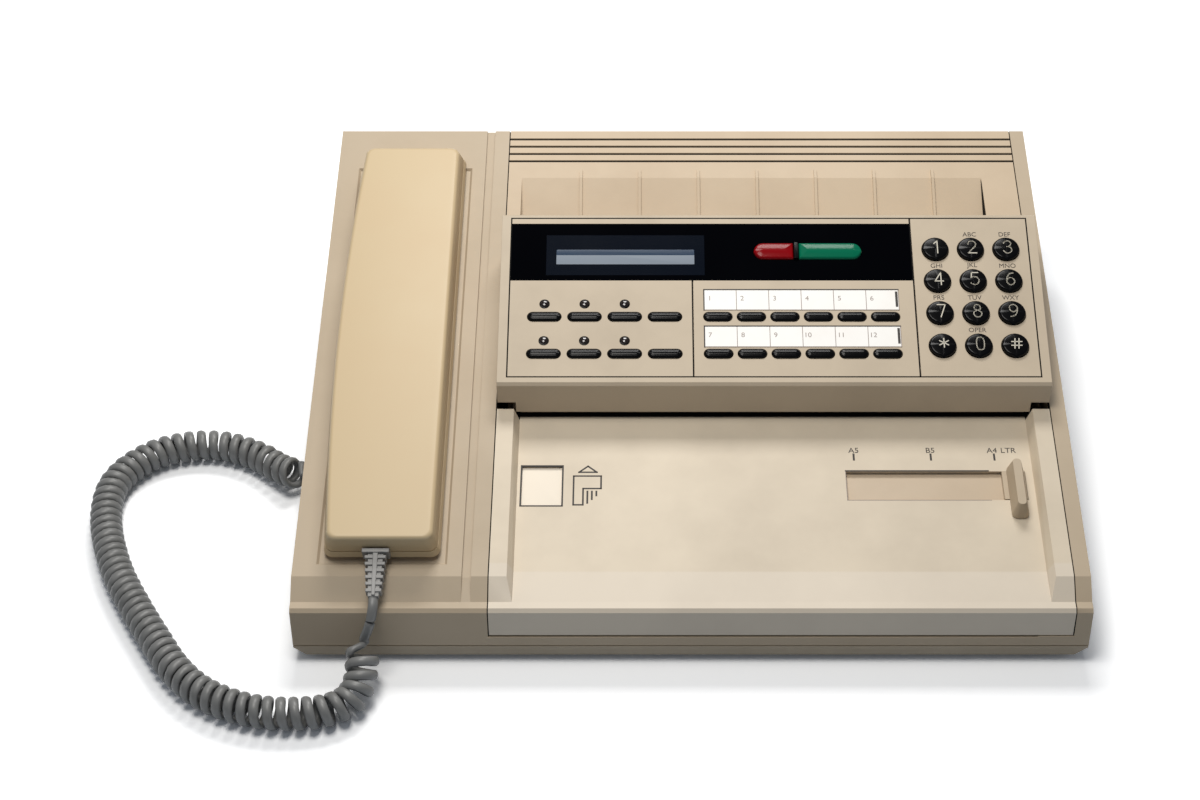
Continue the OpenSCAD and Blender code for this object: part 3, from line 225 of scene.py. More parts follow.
class Look(Enum):
    """The finishes of the machine, one per kind of surface; some stand for painted light or painted shade, as
    noted.
    """

    CASE = Finish("case_plastic", (0.49, 0.395, 0.28), 0.5, stain=(0.40, 0.315, 0.215), stain_share=0.45,
                  specular=0.4)
    # The rear cover is the case's plastic, made lighter by painted light for its more brightly lit ramp bay
    COVER_PAINTED_LIGHTER = Finish("cover_plastic_painted_light", (0.56, 0.44, 0.305), 0.5, stain=(0.44, 0.33, 0.22), stain_share=0.4,
                   specular=0.4)
    PANEL = Finish("panel_plastic", (0.54, 0.445, 0.325), 0.5, stain=(0.41, 0.335, 0.245), stain_share=0.45,
                   stain_size=45.0, specular=0.4)
    # The table's colour is the case's plastic made lighter and paler by a painted sheen, with a paler
    # painted-sheen strip along its front lip
    TABLE = Finish("table_plastic_painted_sheen", (0.69, 0.59, 0.45), 0.48, stain=(0.46, 0.385, 0.29), stain_share=0.45,
                   stain_size=80.0, specular=0.45, painted_sheen=(0.70, 0.62, 0.52), painted_sheen_to=-115.4)
    HANDSET = Finish("handset_plastic", (0.60, 0.465, 0.28), 0.42, stain=(0.60, 0.45, 0.27), stain_share=0.6,
                     specular=0.4)
    PRINT = Finish("dark_print", (0.03, 0.024, 0.02), 0.6, stain_share=0.0, grain=0.0)
    FAINT_PRINT = Finish("faint_print", (0.30, 0.24, 0.21), 0.6, stain_share=0.0, grain=0.0)
    LETTERS = Finish("panel_letters", (0.035, 0.024, 0.018), 0.6, stain_share=0.0, grain=0.0)
    DIGITS = Finish("key_digits", (0.60, 0.56, 0.46), 0.5, stain_share=0.0, grain=0.0)
    KEY = Finish("key_black", (0.0018, 0.0018, 0.0022), 0.2, stain=(0.004, 0.0035, 0.003), grain=0.0,
                 specular=0.13)
    STOP = Finish("key_red", (0.225, 0.0015, 0.004), 0.17, stain=(0.17, 0.001, 0.003), grain=0.0,
                  specular=0.13)
    START = Finish("key_green", (0.001, 0.135, 0.068), 0.17, stain=(0.001, 0.11, 0.055), grain=0.0,
                   specular=0.13)
    GLASS = Finish("window_black", (0.0004, 0.0005, 0.0012), 0.1, stain=(0.0008, 0.001, 0.003), grain=0.0,
                   specular=0.05)
    DISPLAY = Finish("display_grey", (0.21, 0.245, 0.29), 0.3, stain=(0.15, 0.19, 0.25), stain_size=14,
                     grain=0.0, specular=0.2)
    DISPLAY_SHADE = Finish("display_shade", (0.012, 0.035, 0.075), 0.3, stain=(0.006, 0.02, 0.05),
                           stain_size=20, grain=0.0, specular=0.2)
    DISPLAY_EDGE = Finish("display_navy", (0.0003, 0.0022, 0.007), 0.15, stain=(0.0002, 0.001, 0.003),
                          grain=0.0, specular=0.15)
    LAMP = Finish("status_lamp", (0.012, 0.006, 0.005), 0.1, stain_share=0.0, grain=0.0, coat=0.3)
    LABEL = Finish("label_paper", (0.95, 0.93, 0.89), 0.4, stain=(0.80, 0.70, 0.62), stain_share=0.25,
                   stain_size=25, grain=0.0, coat=0.1)
    PAPER = Finish("roll_paper", (0.88, 0.79, 0.66), 0.6, stain=(0.78, 0.66, 0.54), grain=0.01)
    CORD = Finish("cord_plastic", (0.20, 0.20, 0.195), 0.4, stain=(0.13, 0.13, 0.125), stain_share=0.6,
                  stain_size=12, grain=0.01, grain_size=0.5)
    BOOT = Finish("boot_plastic", (0.27, 0.262, 0.25), 0.42, stain=(0.17, 0.165, 0.155), stain_size=8)
    RUBBER = Finish("dark_rubber", (0.02, 0.02, 0.021), 0.7)
    STEEL = Finish("zinc_steel", (0.42, 0.42, 0.43), 0.35, metallic=1.0, stain=(0.3, 0.29, 0.28))
    SHEET = Finish("sheet_metal", (0.52, 0.52, 0.52), 0.42, metallic=1.0, stain=(0.36, 0.35, 0.33))
    BOARD = Finish("circuit_board", (0.02, 0.13, 0.06), 0.4, stain=(0.01, 0.06, 0.03), stain_size=9, coat=0.3)
    HOOK = Finish("hook_plastic", (0.62, 0.56, 0.45), 0.45)
    SLOT = Finish("slot_floor", (0.55, 0.435, 0.31), 0.5, stain=(0.44, 0.34, 0.24), stain_size=15,
                  specular=0.4)
    # Painted shade for the dark pieces set into gaps, slots, seams and recesses; also the image sensor's own
    # black
    SHADE = Finish("painted_shade_and_black", (0.006, 0.0055, 0.005), 0.8, stain_share=0.0, grain=0.0, specular=0.1)

    def material(self) -> bpy.types.Material:
        """The Blender material of this finish, made at first use."""
        return bpy.data.materials.get(self.value.name) or self.value.build()


@dataclass(frozen=True)
class Plane:
    """An inclined face of the machine: x across, s up the slope and n along its normal.

    Attributes:
        front: Distance of its line s = 0 from the front of the case.
        height: Height of that line.
        tilt: Slope in degrees.
    """

    front: float
    height: float
    tilt: float

    @property
    def _turn(self) -> tuple[float, float]:
        """Cosine and sine of the slope."""
        return math.cos(math.radians(self.tilt)), math.sin(math.radians(self.tilt))

    def point(self, x: float, s: float, n: float = 0.0) -> Vector:
        """A point of the plane.

        Args:
            x: Place across.
            s: Place up the slope.
            n: Height above the plane.

        Returns:
            The point in Blender's metres.
        """
        c, t = self._turn
        y = self.front - BODY_DEPTH / 2
        return Vector((x, y + s * c - n * t, self.height + s * t + n * c)) * MM

    def matrix(self, x: float, s: float, n: float = 0.0) -> Matrix:
        """The place of a piece that lies on the plane and reads from the front."""
        return Matrix.Translation(self.point(x, s, n)) @ Matrix.Rotation(math.radians(self.tilt), 4, "X")

    def locate(self, place: Vector) -> tuple[float, float, float]:
        """The plane coordinates of a point.

        Args:
            place: The point in metres.

        Returns:
            Its x, s and n.
        """
        c, t = self._turn
        y = place.y / MM - (self.front - BODY_DEPTH / 2)
        z = place.z / MM - self.height
        return place.x / MM, y * c + z * t, z * c - y * t

    def extent(self, node: bpy.types.Object) -> tuple[Vector, Vector]:
        """The room that a CAD node takes up on the plane.

        Args:
            node: The node.

        Returns:
            Its lowest and its highest plane coordinates.
        """
        spots = [self.locate(v.co) for v in node.data.vertices]
        low = Vector([min(p[i] for p in spots) for i in range(3)])
        high = Vector([max(p[i] for p in spots) for i in range(3)])
        return low, high


DECK = Plane(16.0, 35.3, 10.0)
TABLE = Plane(22.5, 31.1, 9.0)
PANEL = Plane(105.0, 65.4, 19.0)


def dress(piece: bpy.types.Object, look: Look) -> bpy.types.Object:
    """Gives a piece its one finish.

    Args:
        piece: The piece.
        look: The finish.

    Returns:
        The same piece.
    """
    piece.data.materials.clear()
    piece.data.materials.append(look.material())
    LOG.info("piece %s, %s", piece.name, look.value.name)
    return piece


def add_object(name: str, data: bpy.types.ID) -> bpy.types.Object:
    """Puts a mesh, a curve, a camera or a light into the scene.

    Args:
        name: Name of the object.
        data: What it holds.

    Returns:
        The new object.
    """
    made = bpy.data.objects.new(name, data)
    bpy.context.scene.collection.objects.link(made)
    return made


def place_mesh(mesh: bpy.types.Mesh, look: Look) -> bpy.types.Object:
    """Puts a mesh into the scene as a piece of its own name with one finish."""
    return dress(add_object(mesh.name, mesh), look)


def face_mesh(name: str, points: Sequence[Vector], faces: Iterable[Sequence[int]],
              smooth: bool = True) -> bpy.types.Mesh:
    """Makes a mesh.

    Args:
        name: Its name.
        points: Its points, in metres.
        faces: Its faces as lists of point numbers.
        smooth: Whether its faces shade smoothly.

    Returns:
        The new mesh.
    """
    mesh = bpy.data.meshes.new(name)
    mesh.from_pydata([tuple(p) for p in points], [], [list(f) for f in faces])
    mesh.validate()
    for polygon in mesh.polygons:
        polygon.use_smooth = smooth
    return mesh


def round_edges(piece: bpy.types.Object, width: float, segments: int = 3) -> bpy.types.Modifier:
    """Rounds a piece's edges with a modifier, which leaves its own mesh alone.

    Args:
        piece: The piece.
        width: Width of the rounding in millimetres.
        segments: Faces across it.

    Returns:
        The modifier.
    """
    bevel = piece.modifiers.new("soft_edge", "BEVEL")
    bevel.width = width * MM
    bevel.segments = segments
    return bevel


def smooth_route(route: Sequence[Vector], steps: int) -> list[Vector]:
    """Draws a smooth line through points.

    Args:
        route: The points.
        steps: Parts between each two of them.

    Returns:
        The line's points.
    """
    last = len(route) - 1
    line = []
    for i in range(last):
        p, q = route[max(0, i - 1)], route[i]
        r, s = route[i + 1], route[min(last, i + 2)]
        for k in range(steps):
            t = k / steps
            line.append(0.5 * (2 * q + (r - p) * t + (2 * p - 5 * q + 4 * r - s) * t ** 2
                               + (3 * q - p - 3 * r + s) * t ** 3))
    return line + [route[last]]


def skin_faces(levels: int, count: int, first: int = 0) -> list[list[int]]:
    """Faces of a closed skin over a stack of rings.

    Args:
        levels: Number of rings.
        count: Points in each ring.
        first: Number of the first ring's first point.

    Returns:
        The sides, then the first ring's and the last ring's face.
    """
    faces = []
    last = first + (levels - 1) * count
    for base in range(first, last, count):
        for k in range(count):
            m = (k + 1) % count
            faces.append([base + k, base + m, base + count + m, base + count + k])
    return faces + [list(range(first, first + count))[::-1], list(range(last, last + count))]


def add_piece(name: str, points: Sequence[Vector], faces: Iterable[Sequence[int]], look: Look,
              body: str, smooth: bool = True) -> bpy.types.Object:
    """Makes a mesh piece that rides on a body.

    Args:
        name: Name of the piece.
        points: Its points, in metres.
        faces: Its faces as lists of point numbers.
        look: Its finish.
        body: The CAD body it rides on.
        smooth: Whether its faces shade smoothly.

    Returns:
        The new object.
    """
    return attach(place_mesh(face_mesh(name, points, faces, smooth), look), body)


def pill_outline(width: float, length: float, left: float, right: float, steps: int = 7) -> list[Point2]:
    """Outline of a plate with its own corner radius at each end, counted anticlockwise.

    Args:
        width: Size across.
        length: Size up the slope.
        left: Corner radius at the left end.
        right: Corner radius at the right end.
        steps: Points in each corner.

    Returns:
        The outline's points.
    """
    outline = []
    corners = ((1, 1, right, 0), (-1, 1, left, 90), (-1, -1, left, 180), (1, -1, right, 270))
    for side_x, side_y, radius, start in corners:
        radius = max(radius, 0.02)
        for k in range(steps):
            angle = math.radians(start + 90 * k / (steps - 1))
            outline.append((side_x * (width / 2 - radius) + radius * math.cos(angle),
                            side_y * (length / 2 - radius) + radius * math.sin(angle)))
    return outline


def loft(name: str, plane: Plane, centre: Point2, rings: Sequence[tuple[float, list[Point2]]], look: Look,
         body: str) -> bpy.types.Object:
    """Skins a stack of outlines of equal point count that lie above each other on a plane.

    Args:
        name: Name of the piece.
        plane: The plane they stand on.
        centre: The outlines' origin on the plane.
        rings: Height and outline of each level, from the lowest.
        look: The finish.
        body: The CAD body it rides on.

    Returns:
        The new piece.
    """
    count = len(rings[0][1])
    points = [plane.point(centre[0] + x, centre[1] + y, n) for n, ring in rings for x, y in ring]
    return add_piece(name, points, skin_faces(len(rings), count), look, body)


def edge_levels(high: float, radius: float, steps: int) -> list[Point2]:
    """Height and inset of the levels that round a plate's upper edge in quarter-circle steps."""
    return [(high - radius * (1 - math.sin(a)), radius * (1 - math.cos(a)))
            for a in (math.pi / 2 * k / steps for k in range(steps + 1))]


def cushion_rings(width: float, length: float, radii: Point2, low: float, high: float,
                  fillet: float, crown: float = 0.0) -> list[tuple[float, list[Point2]]]:
    """Levels of a plate or cap with a rounded upper edge and, if wanted, a crowned top.

    Args:
        width: Size across at the foot.
        length: Size up the slope at the foot.
        radii: Corner radii at the left and the right end.
        low: Height of the foot.
        high: Height of the top.
        fillet: Radius of the upper edge.
        crown: How far the top's middle rises above its rim.

    Returns:
        Height and outline of each level, from the lowest.
    """
    rim = high - crown
    levels = [(low, 0.0)] + edge_levels(rim, fillet, 5)
    reach = min(width, length) / 2 - fillet - 0.1
    levels += [(rim + crown * (1 - (1 - t) ** 2), fillet + reach * t) for t in (0.3, 0.6, 0.9) if crown]
    rings = []
    for height, inset in levels:
        left, right = (max(r - inset, 0.02) for r in radii)
        rings.append((height, pill_outline(width - 2 * inset, length - 2 * inset, left, right)))
    return rings


def slab(name: str, plane: Plane, low: Vector, high: Vector, look: Look, body: str, radius: float = 0.3,
         fillet: float = 0.05) -> bpy.types.Object:
    """A flat plate on a plane.

    Args:
        name: Name of the piece.
        plane: The plane it lies on.
        low: Its lowest corner in plane coordinates.
        high: Its highest corner.
        look: The finish.
        body: The CAD body it rides on.
        radius: Corner radius.
        fillet: Radius of the upper edge.

    Returns:
        The new piece.
    """
    centre = ((low.x + high.x) / 2, (low.y + high.y) / 2)
    rings = cushion_rings(high.x - low.x, high.y - low.y, (radius, radius), low.z, high.z, fillet)
    return loft(name, plane, centre, rings, look, body)


@dataclass(frozen=True)
class Lettering:
    """Words printed on a plane.

    Attributes:
        plane: The face that they are printed on.
        look: Ink.
        cap: Height of a capital in millimetres.
        body: The CAD body they ride on.
        cap_share: Height of a capital as a share of the font's size.
        ink: Half the thickness of the ink in millimetres.
    """

    plane: Plane
    look: Look
    cap: float
    body: str

    cap_share: float = 0.72
    ink: float = 0.015

    def write(self, name: str, words: str, x: float, s: float, n: float = 0.03) -> bpy.types.Object:
        """Writes words centred on a point.

        Args:
            name: Name of the piece.
            words: What it says.
            x: Middle across.
            s: Middle up the slope.
            n: Height of the ink's underside above the plane.

        Returns:
            The new piece.
        """
        curve = bpy.data.curves.new(name, "FONT")
        curve.body = words
        curve.size = self.cap / self.cap_share * MM
        curve.extrude = self.ink * MM
        curve.align_x = "CENTER"
        curve.align_y = "CENTER"
        source = add_object(name + "_source", curve)
        bpy.context.view_layer.update()
        mesh = bpy.data.meshes.new_from_object(source.evaluated_get(bpy.context.evaluated_depsgraph_get()))
        bpy.data.objects.remove(source)
        xs = [v.co.x for v in mesh.vertices]
        ys = [v.co.y for v in mesh.vertices]
        middle = Vector(((min(xs) + max(xs)) / 2, (min(ys) + max(ys)) / 2, 0))
        mesh.transform(self.plane.matrix(x, s, n + self.ink) @ Matrix.Translation(-middle))
        mesh.name = name
        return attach(place_mesh(mesh, self.look), self.body)


def inscribe(name: str, plane: Plane, lines: Sequence[Sequence[Point2]], width: float, look: Look, body: str,
             n: float = 0.0, lift: float = 0.05) -> bpy.types.Object:
    """Lines of constant width on a plane, as one piece.

    Args:
        name: Name of the piece.
        plane: The plane they lie on.
        lines: Corners of each line as (x, s).
        width: Width of the lines.
        look: Their finish.
        body: The CAD body they ride on.
        n: Height of their foot above the plane.
        lift: Their thickness.

    Returns:
        The new piece.
    """
    made = bmesh.new()
    for spots in lines:
        for start, end in zip(map(Vector, spots), map(Vector, spots[1:])):
            along = (end - start).normalized()
            side = Vector((-along.y, along.x)) * width / 2
            reach = along * width / 2
            corners = (start - reach - side, end + reach - side, end + reach + side, start - reach + side)
            low = [made.verts.new(plane.point(c.x, c.y, n)) for c in corners]
            high = [made.verts.new(plane.point(c.x, c.y, n + lift)) for c in corners]
            made.faces.new(high)
            made.faces.new(low[::-1])
            for k in range(4):
                made.faces.new((low[k], low[(k + 1) % 4], high[(k + 1) % 4], high[k]))
    mesh = bpy.data.meshes.new(name)
    made.to_mesh(mesh)
    made.free()
    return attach(place_mesh(mesh, look), body)


def stroke(name: str, plane: Plane, spots: Sequence[Point2], width: float, look: Look, body: str,
           closed: bool = False, n: float = 0.0, lift: float = 0.05) -> bpy.types.Object:
    """One printed or raised line through points of a plane, which may return to its first point."""
    line = list(spots) + ([spots[0]] if closed else [])
    return inscribe(name, plane, [line], width, look, body, n, lift)


@dataclass
class Cabinet:
    """The moulded covers and the inner parts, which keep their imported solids.

    Attributes:
        nodes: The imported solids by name.
    """

    nodes: dict[str, bpy.types.Object]

    LOOKS: ClassVar[dict[str, Look]] = {
        "base_pan": Look.CASE, "upper_case": Look.CASE, "rear_cover": Look.COVER_PAINTED_LIGHTER,
        "document_table": Look.TABLE, "width_guide": Look.CASE, "panel_housing": Look.PANEL,
        "key_plate": Look.PANEL, "display_window": Look.GLASS, "label_strips": Look.LABEL,
        "panel_board": Look.BOARD,
        "handset_lower_shell": Look.HANDSET, "hook_plunger": Look.HOOK, "rubber_feet": Look.RUBBER,
        "case_screws": Look.STEEL, "main_board": Look.BOARD, "power_supply": Look.SHEET,
        "paper_roll": Look.PAPER, "platen_roller": Look.RUBBER, "feed_roller": Look.RUBBER,
        "image_sensor": Look.SHADE, "thermal_head": Look.SHEET, "drive_unit": Look.STEEL,
    }
    SOFT_EDGES: ClassVar[dict[str, float]] = {"base_pan": 0.6, "upper_case": 1.0, "document_table": 0.9,
                                              "panel_housing": 1.0, "key_plate": 0.15}
    profile: tuple = ((0.7, 17.0), (2.1, 27.4), (3.9, 28.9), (7.0, 29.1), (16.0, 35.2), (274.4, 80.8),
                      (275.7, 79.4), (275.7, 24.0))
    ramp_end: tuple = (144.2, 243.2, 201.0)
    ramp_tilt: float = 26.0
    painted_gap_shades: tuple = (("left", -85.25), ("right", 161.05))
    gap_w: float = 0.46
    gap_depths: Point2 = (0.45, 2.4)
    gap_lean: float = 0.2
    slot_ends: tuple = (-84.6, 160.4)
    slot_edge: float = 7.0
    slot_pitch: float = 4.9
    slot_w: float = 1.3
    slot_sunk: float = -0.75
    slots: int = 4

    def build(self) -> None:
        """Dresses every solid, softens the covers' edges and paints shade into the gaps, the grille slots and
        the ramp's wall.
        """
        for name, look in self.LOOKS.items():
            dress(self.nodes[name], look)
        for name, width in self.SOFT_EDGES.items():
            self._soften(self.nodes[name], width)
        for name, x in self.painted_gap_shades:
            self._gap(f"gap_{name}", x)
        self._shade_grille_slots()
        self._shade_ramp_wall()

    def _shade_ramp_wall(self) -> None:
        """Painted shade where the ramp's right end meets its wall."""
        x, back, foot = self.ramp_end
        deck, ramp = math.tan(math.radians(DECK.tilt)), math.tan(math.radians(self.ramp_tilt))
        crest = DECK.height + (back - DECK.front) * deck
        outline = [(back - 1.0, crest - 0.25), (foot, crest - (back - foot) * ramp + 0.1),
                   (foot, crest - (back - foot) * deck - 0.6)]
        points = [Vector((x + side, d - BODY_DEPTH / 2, z)) * MM for side in (-0.3, -0.1) for d, z in outline]
        faces = [(0, 1, 2), (3, 5, 4), (0, 3, 4, 1), (1, 4, 5, 2), (2, 5, 3, 0)]
        add_piece("ramp_wall_painted_shade", points, faces, Look.SHADE, "case", smooth=False)

    def _gap(self, name: str, x: float) -> None:
        """Makes painted shade: a dark ribbon along the case's outline, down inside the gap beside a cover.

        Args:
            name: Name of the piece.
            x: The gap's place across.
        """
        points, faces = [], []
        for depth, height in self.profile:
            for side in (-1, 1):
                for sunk in self.gap_depths:
                    y = depth - BODY_DEPTH / 2 + self.gap_lean * sunk
                    points.append(Vector((x + side * self.gap_w / 2, y, height - sunk)) * MM)
        for i in range(len(self.profile) - 1):
            a, b = 4 * i, 4 * i + 4
            faces += [(a, b, b + 2, a + 2), (a + 1, a + 3, b + 3, b + 1),
                      (a, a + 1, b + 1, b), (a + 2, b + 2, b + 3, a + 3)]
        last = 4 * len(self.profile) - 4
        faces += [(0, 2, 3, 1), (last, last + 1, last + 3, last + 2)]
        add_piece(name, points, faces, Look.SHADE, "case", smooth=False)

    def _shade_grille_slots(self) -> None:
        """Painted shade on the floors of the grille slots."""
        for k in range(self.slots):
            depth = BODY_DEPTH - self.slot_edge - k * self.slot_pitch
            s = (depth - DECK.front) / math.cos(math.radians(DECK.tilt))
            stroke(f"grille_painted_shade_{k + 1}", DECK, [(x, s) for x in self.slot_ends], self.slot_w, Look.SHADE,
                   "case", n=self.slot_sunk, lift=0.2)

    @staticmethod
    def _soften(piece: bpy.types.Object, width: float) -> None:
        """Rounds a solid's edges with modifiers, which leave its own mesh alone.

        Args:
            piece: The solid.
            width: Width of the rounding in millimetres, which narrow faces limit.
        """
        weld = piece.modifiers.new("weld", "WELD")
        weld.merge_threshold = 0.002 * MM
        flat = piece.modifiers.new("merge_flat", "DECIMATE")
        flat.decimate_type = "DISSOLVE"
        flat.angle_limit = math.radians(0.6)
        bevel = round_edges(piece, width)
        bevel.limit_method = "ANGLE"
        bevel.angle_limit = math.radians(28)
        bevel.harden_normals = True
        bevel.use_clamp_overlap = True


@dataclass
class KeyCaps:
    """The glossy caps of all keys with their legends.

    Attributes:
        nodes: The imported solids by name.
    """

    nodes: dict[str, bpy.types.Object]

    SIX: ClassVar[tuple] = ((0.2, 0.46), (0.0, 0.42), (-0.18, 0.22), (-0.27, -0.08), (-0.24, -0.34),
                            (-0.06, -0.5), (0.12, -0.48), (0.27, -0.32), (0.25, -0.1), (0.1, 0.06),
                            (-0.08, 0.06), (-0.25, -0.1))
    STROKES: ClassVar[dict[str, tuple]] = {
        "1": (((-0.17, 0.3), (0.06, 0.5), (0.06, -0.5)),),
        "2": (((-0.27, 0.26), (-0.2, 0.43), (0.0, 0.5), (0.2, 0.43), (0.27, 0.25), (0.2, 0.03), (-0.02, -0.2),
               (-0.22, -0.42), (-0.28, -0.5)), ((-0.28, -0.5), (0.3, -0.5))),
        "3": (((-0.25, 0.33), (-0.12, 0.48), (0.06, 0.5), (0.22, 0.4), (0.24, 0.22), (0.12, 0.06),
               (-0.04, 0.03)),
              ((-0.04, 0.03), (0.16, 0.0), (0.28, -0.16), (0.26, -0.36), (0.1, -0.49), (-0.1, -0.5),
               (-0.28, -0.33))),
        "4": (((0.14, -0.5), (0.14, 0.5), (-0.28, -0.2), (0.3, -0.2)),),
        "5": (((0.24, 0.5), (-0.2, 0.5), (-0.24, 0.08)),
              ((-0.24, 0.08), (-0.06, 0.15), (0.14, 0.12), (0.28, -0.06), (0.28, -0.26), (0.14, -0.45),
               (-0.06, -0.5), (-0.27, -0.38))),
        "6": (SIX,),
        "7": (((-0.27, 0.5), (0.28, 0.5), (-0.06, -0.5)),),
        "8": (((0.0, 0.04), (-0.18, 0.12), (-0.22, 0.3), (-0.12, 0.46), (0.0, 0.5), (0.12, 0.46), (0.22, 0.3),
               (0.18, 0.12), (0.0, 0.04)),
              ((0.0, 0.04), (-0.22, -0.08), (-0.28, -0.26), (-0.16, -0.46), (0.0, -0.5), (0.16, -0.46),
               (0.28, -0.26), (0.22, -0.08), (0.0, 0.04))),
        "9": (tuple((-x, -y) for x, y in SIX),),
        "*": (((0.0, 0.4), (0.0, -0.3)), ((-0.3, 0.22), (0.3, -0.12)), ((-0.3, -0.12), (0.3, 0.22))),
        "0": (((0.0, 0.5), (-0.18, 0.44), (-0.26, 0.2), (-0.26, -0.2), (-0.18, -0.44), (0.0, -0.5),
               (0.18, -0.44), (0.26, -0.2), (0.26, 0.2), (0.18, 0.44), (0.0, 0.5)),),
        "#": (((-0.1, 0.38), (-0.16, -0.38)), ((0.18, 0.38), (0.12, -0.38)), ((-0.34, 0.15), (0.36, 0.15)),
              ((-0.36, -0.15), (0.34, -0.15))),
    }
    order: str = "123456789*0#"
    digit_h: float = 6.4
    digit_line: float = 0.5
    groups: tuple = ("", "ABC", "DEF", "GHI", "JKL", "MNO", "PRS", "TUV", "WXY", "", "OPER", "")
    round_d: float = 12.0
    cap_foot: float = -1.8
    digit_shift: Point2 = (0.4, 0.2)
    letter_cap: float = 2.35
    key_play: float = 1.6
    letter_offset: float = 8.4

    def build(self) -> None:
        """Makes every cap."""
        for name, node in self.nodes.items():
            if "_key" not in name and name not in ("stop_key", "start_key"):
                continue
            low, high = PANEL.extent(node)
            centre = ((low.x + high.x) / 2, (low.y + high.y) / 2)
            if name.startswith("keypad_key"):
                self._round_key(name, centre, high.z, int(name.rsplit("_", 1)[1]) - 1)
            else:
                self._pill_key(name, centre, low, high)

    def _cap(self, name: str, centre: Point2, size: Point2, radii: Point2, top: float, fillet: float,
             crown: float, look: Look) -> None:
        """Makes one cap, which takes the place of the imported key.

        Args:
            name: The key.
            centre: Its middle on the panel.
            size: The cap's size across and up the slope.
            radii: Its corner radii at the left and the right end.
            top: Height of its top.
            fillet: Radius of its upper edge.
            crown: How far its middle rises above its rim.
            look: Its finish.
        """
        rings = cushion_rings(*size, radii, self.cap_foot, top, fillet, crown)
        piece = loft(name + "_cap", PANEL, centre, rings, look, name + "_body")
        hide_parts(name)

    def _round_key(self, name: str, centre: Point2, top: float, index: int) -> None:
        """Makes a keypad key with its digit and the letter group printed above it.

        Args:
            name: The key.
            centre: Its middle on the panel.
            top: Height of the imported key's top.
            index: Its place in the order of the keypad.
        """
        radius = self.round_d / 2
        x0, s0 = (middle + shift for middle, shift in zip(centre, self.digit_shift))
        self._cap(name, centre, (self.round_d, self.round_d), (radius, radius), top + 0.3, 1.1, 0.3, Look.KEY)
        lines = []
        for spots in self.STROKES[self.order[index]]:
            smooth = smooth_route([Vector(p) for p in spots], 5) if len(spots) > 4 else spots
            lines.append([(x0 + x * self.digit_h, s0 + y * self.digit_h) for x, y in smooth])
        inscribe(name + "_digit", PANEL, lines, self.digit_line, Look.DIGITS, name + "_body", top + 0.2, 0.12)
        if self.groups[index]:
            letters = Lettering(PANEL, Look.LETTERS, self.letter_cap, "control_panel")
            letters.write(name + "_letters", self.groups[index], centre[0], centre[1] + self.letter_offset)

    def _pill_key(self, name: str, centre: Point2, low: Vector, high: Vector) -> None:
        """Makes a long key; stop and start have one square end each.

        Args:
            name: The key.
            centre: Its middle on the panel.
            low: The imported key's lowest plane coordinates.
            high: Its highest.
        """
        width = high.x - low.x - self.key_play
        length = high.y - low.y - self.key_play
        half = length / 2
        if name == "stop_key":
            self._cap(name, centre, (width, length), (half, 0.4), high.z + 0.5, 1.3, 0.4, Look.STOP)
        elif name == "start_key":
            self._cap(name, centre, (width, length), (0.4, half), high.z + 0.5, 1.3, 0.4, Look.START)
        else:
            self._cap(name, centre, (width, length), (half, half), high.z + 0.25, 1.0, 0.25, Look.KEY)


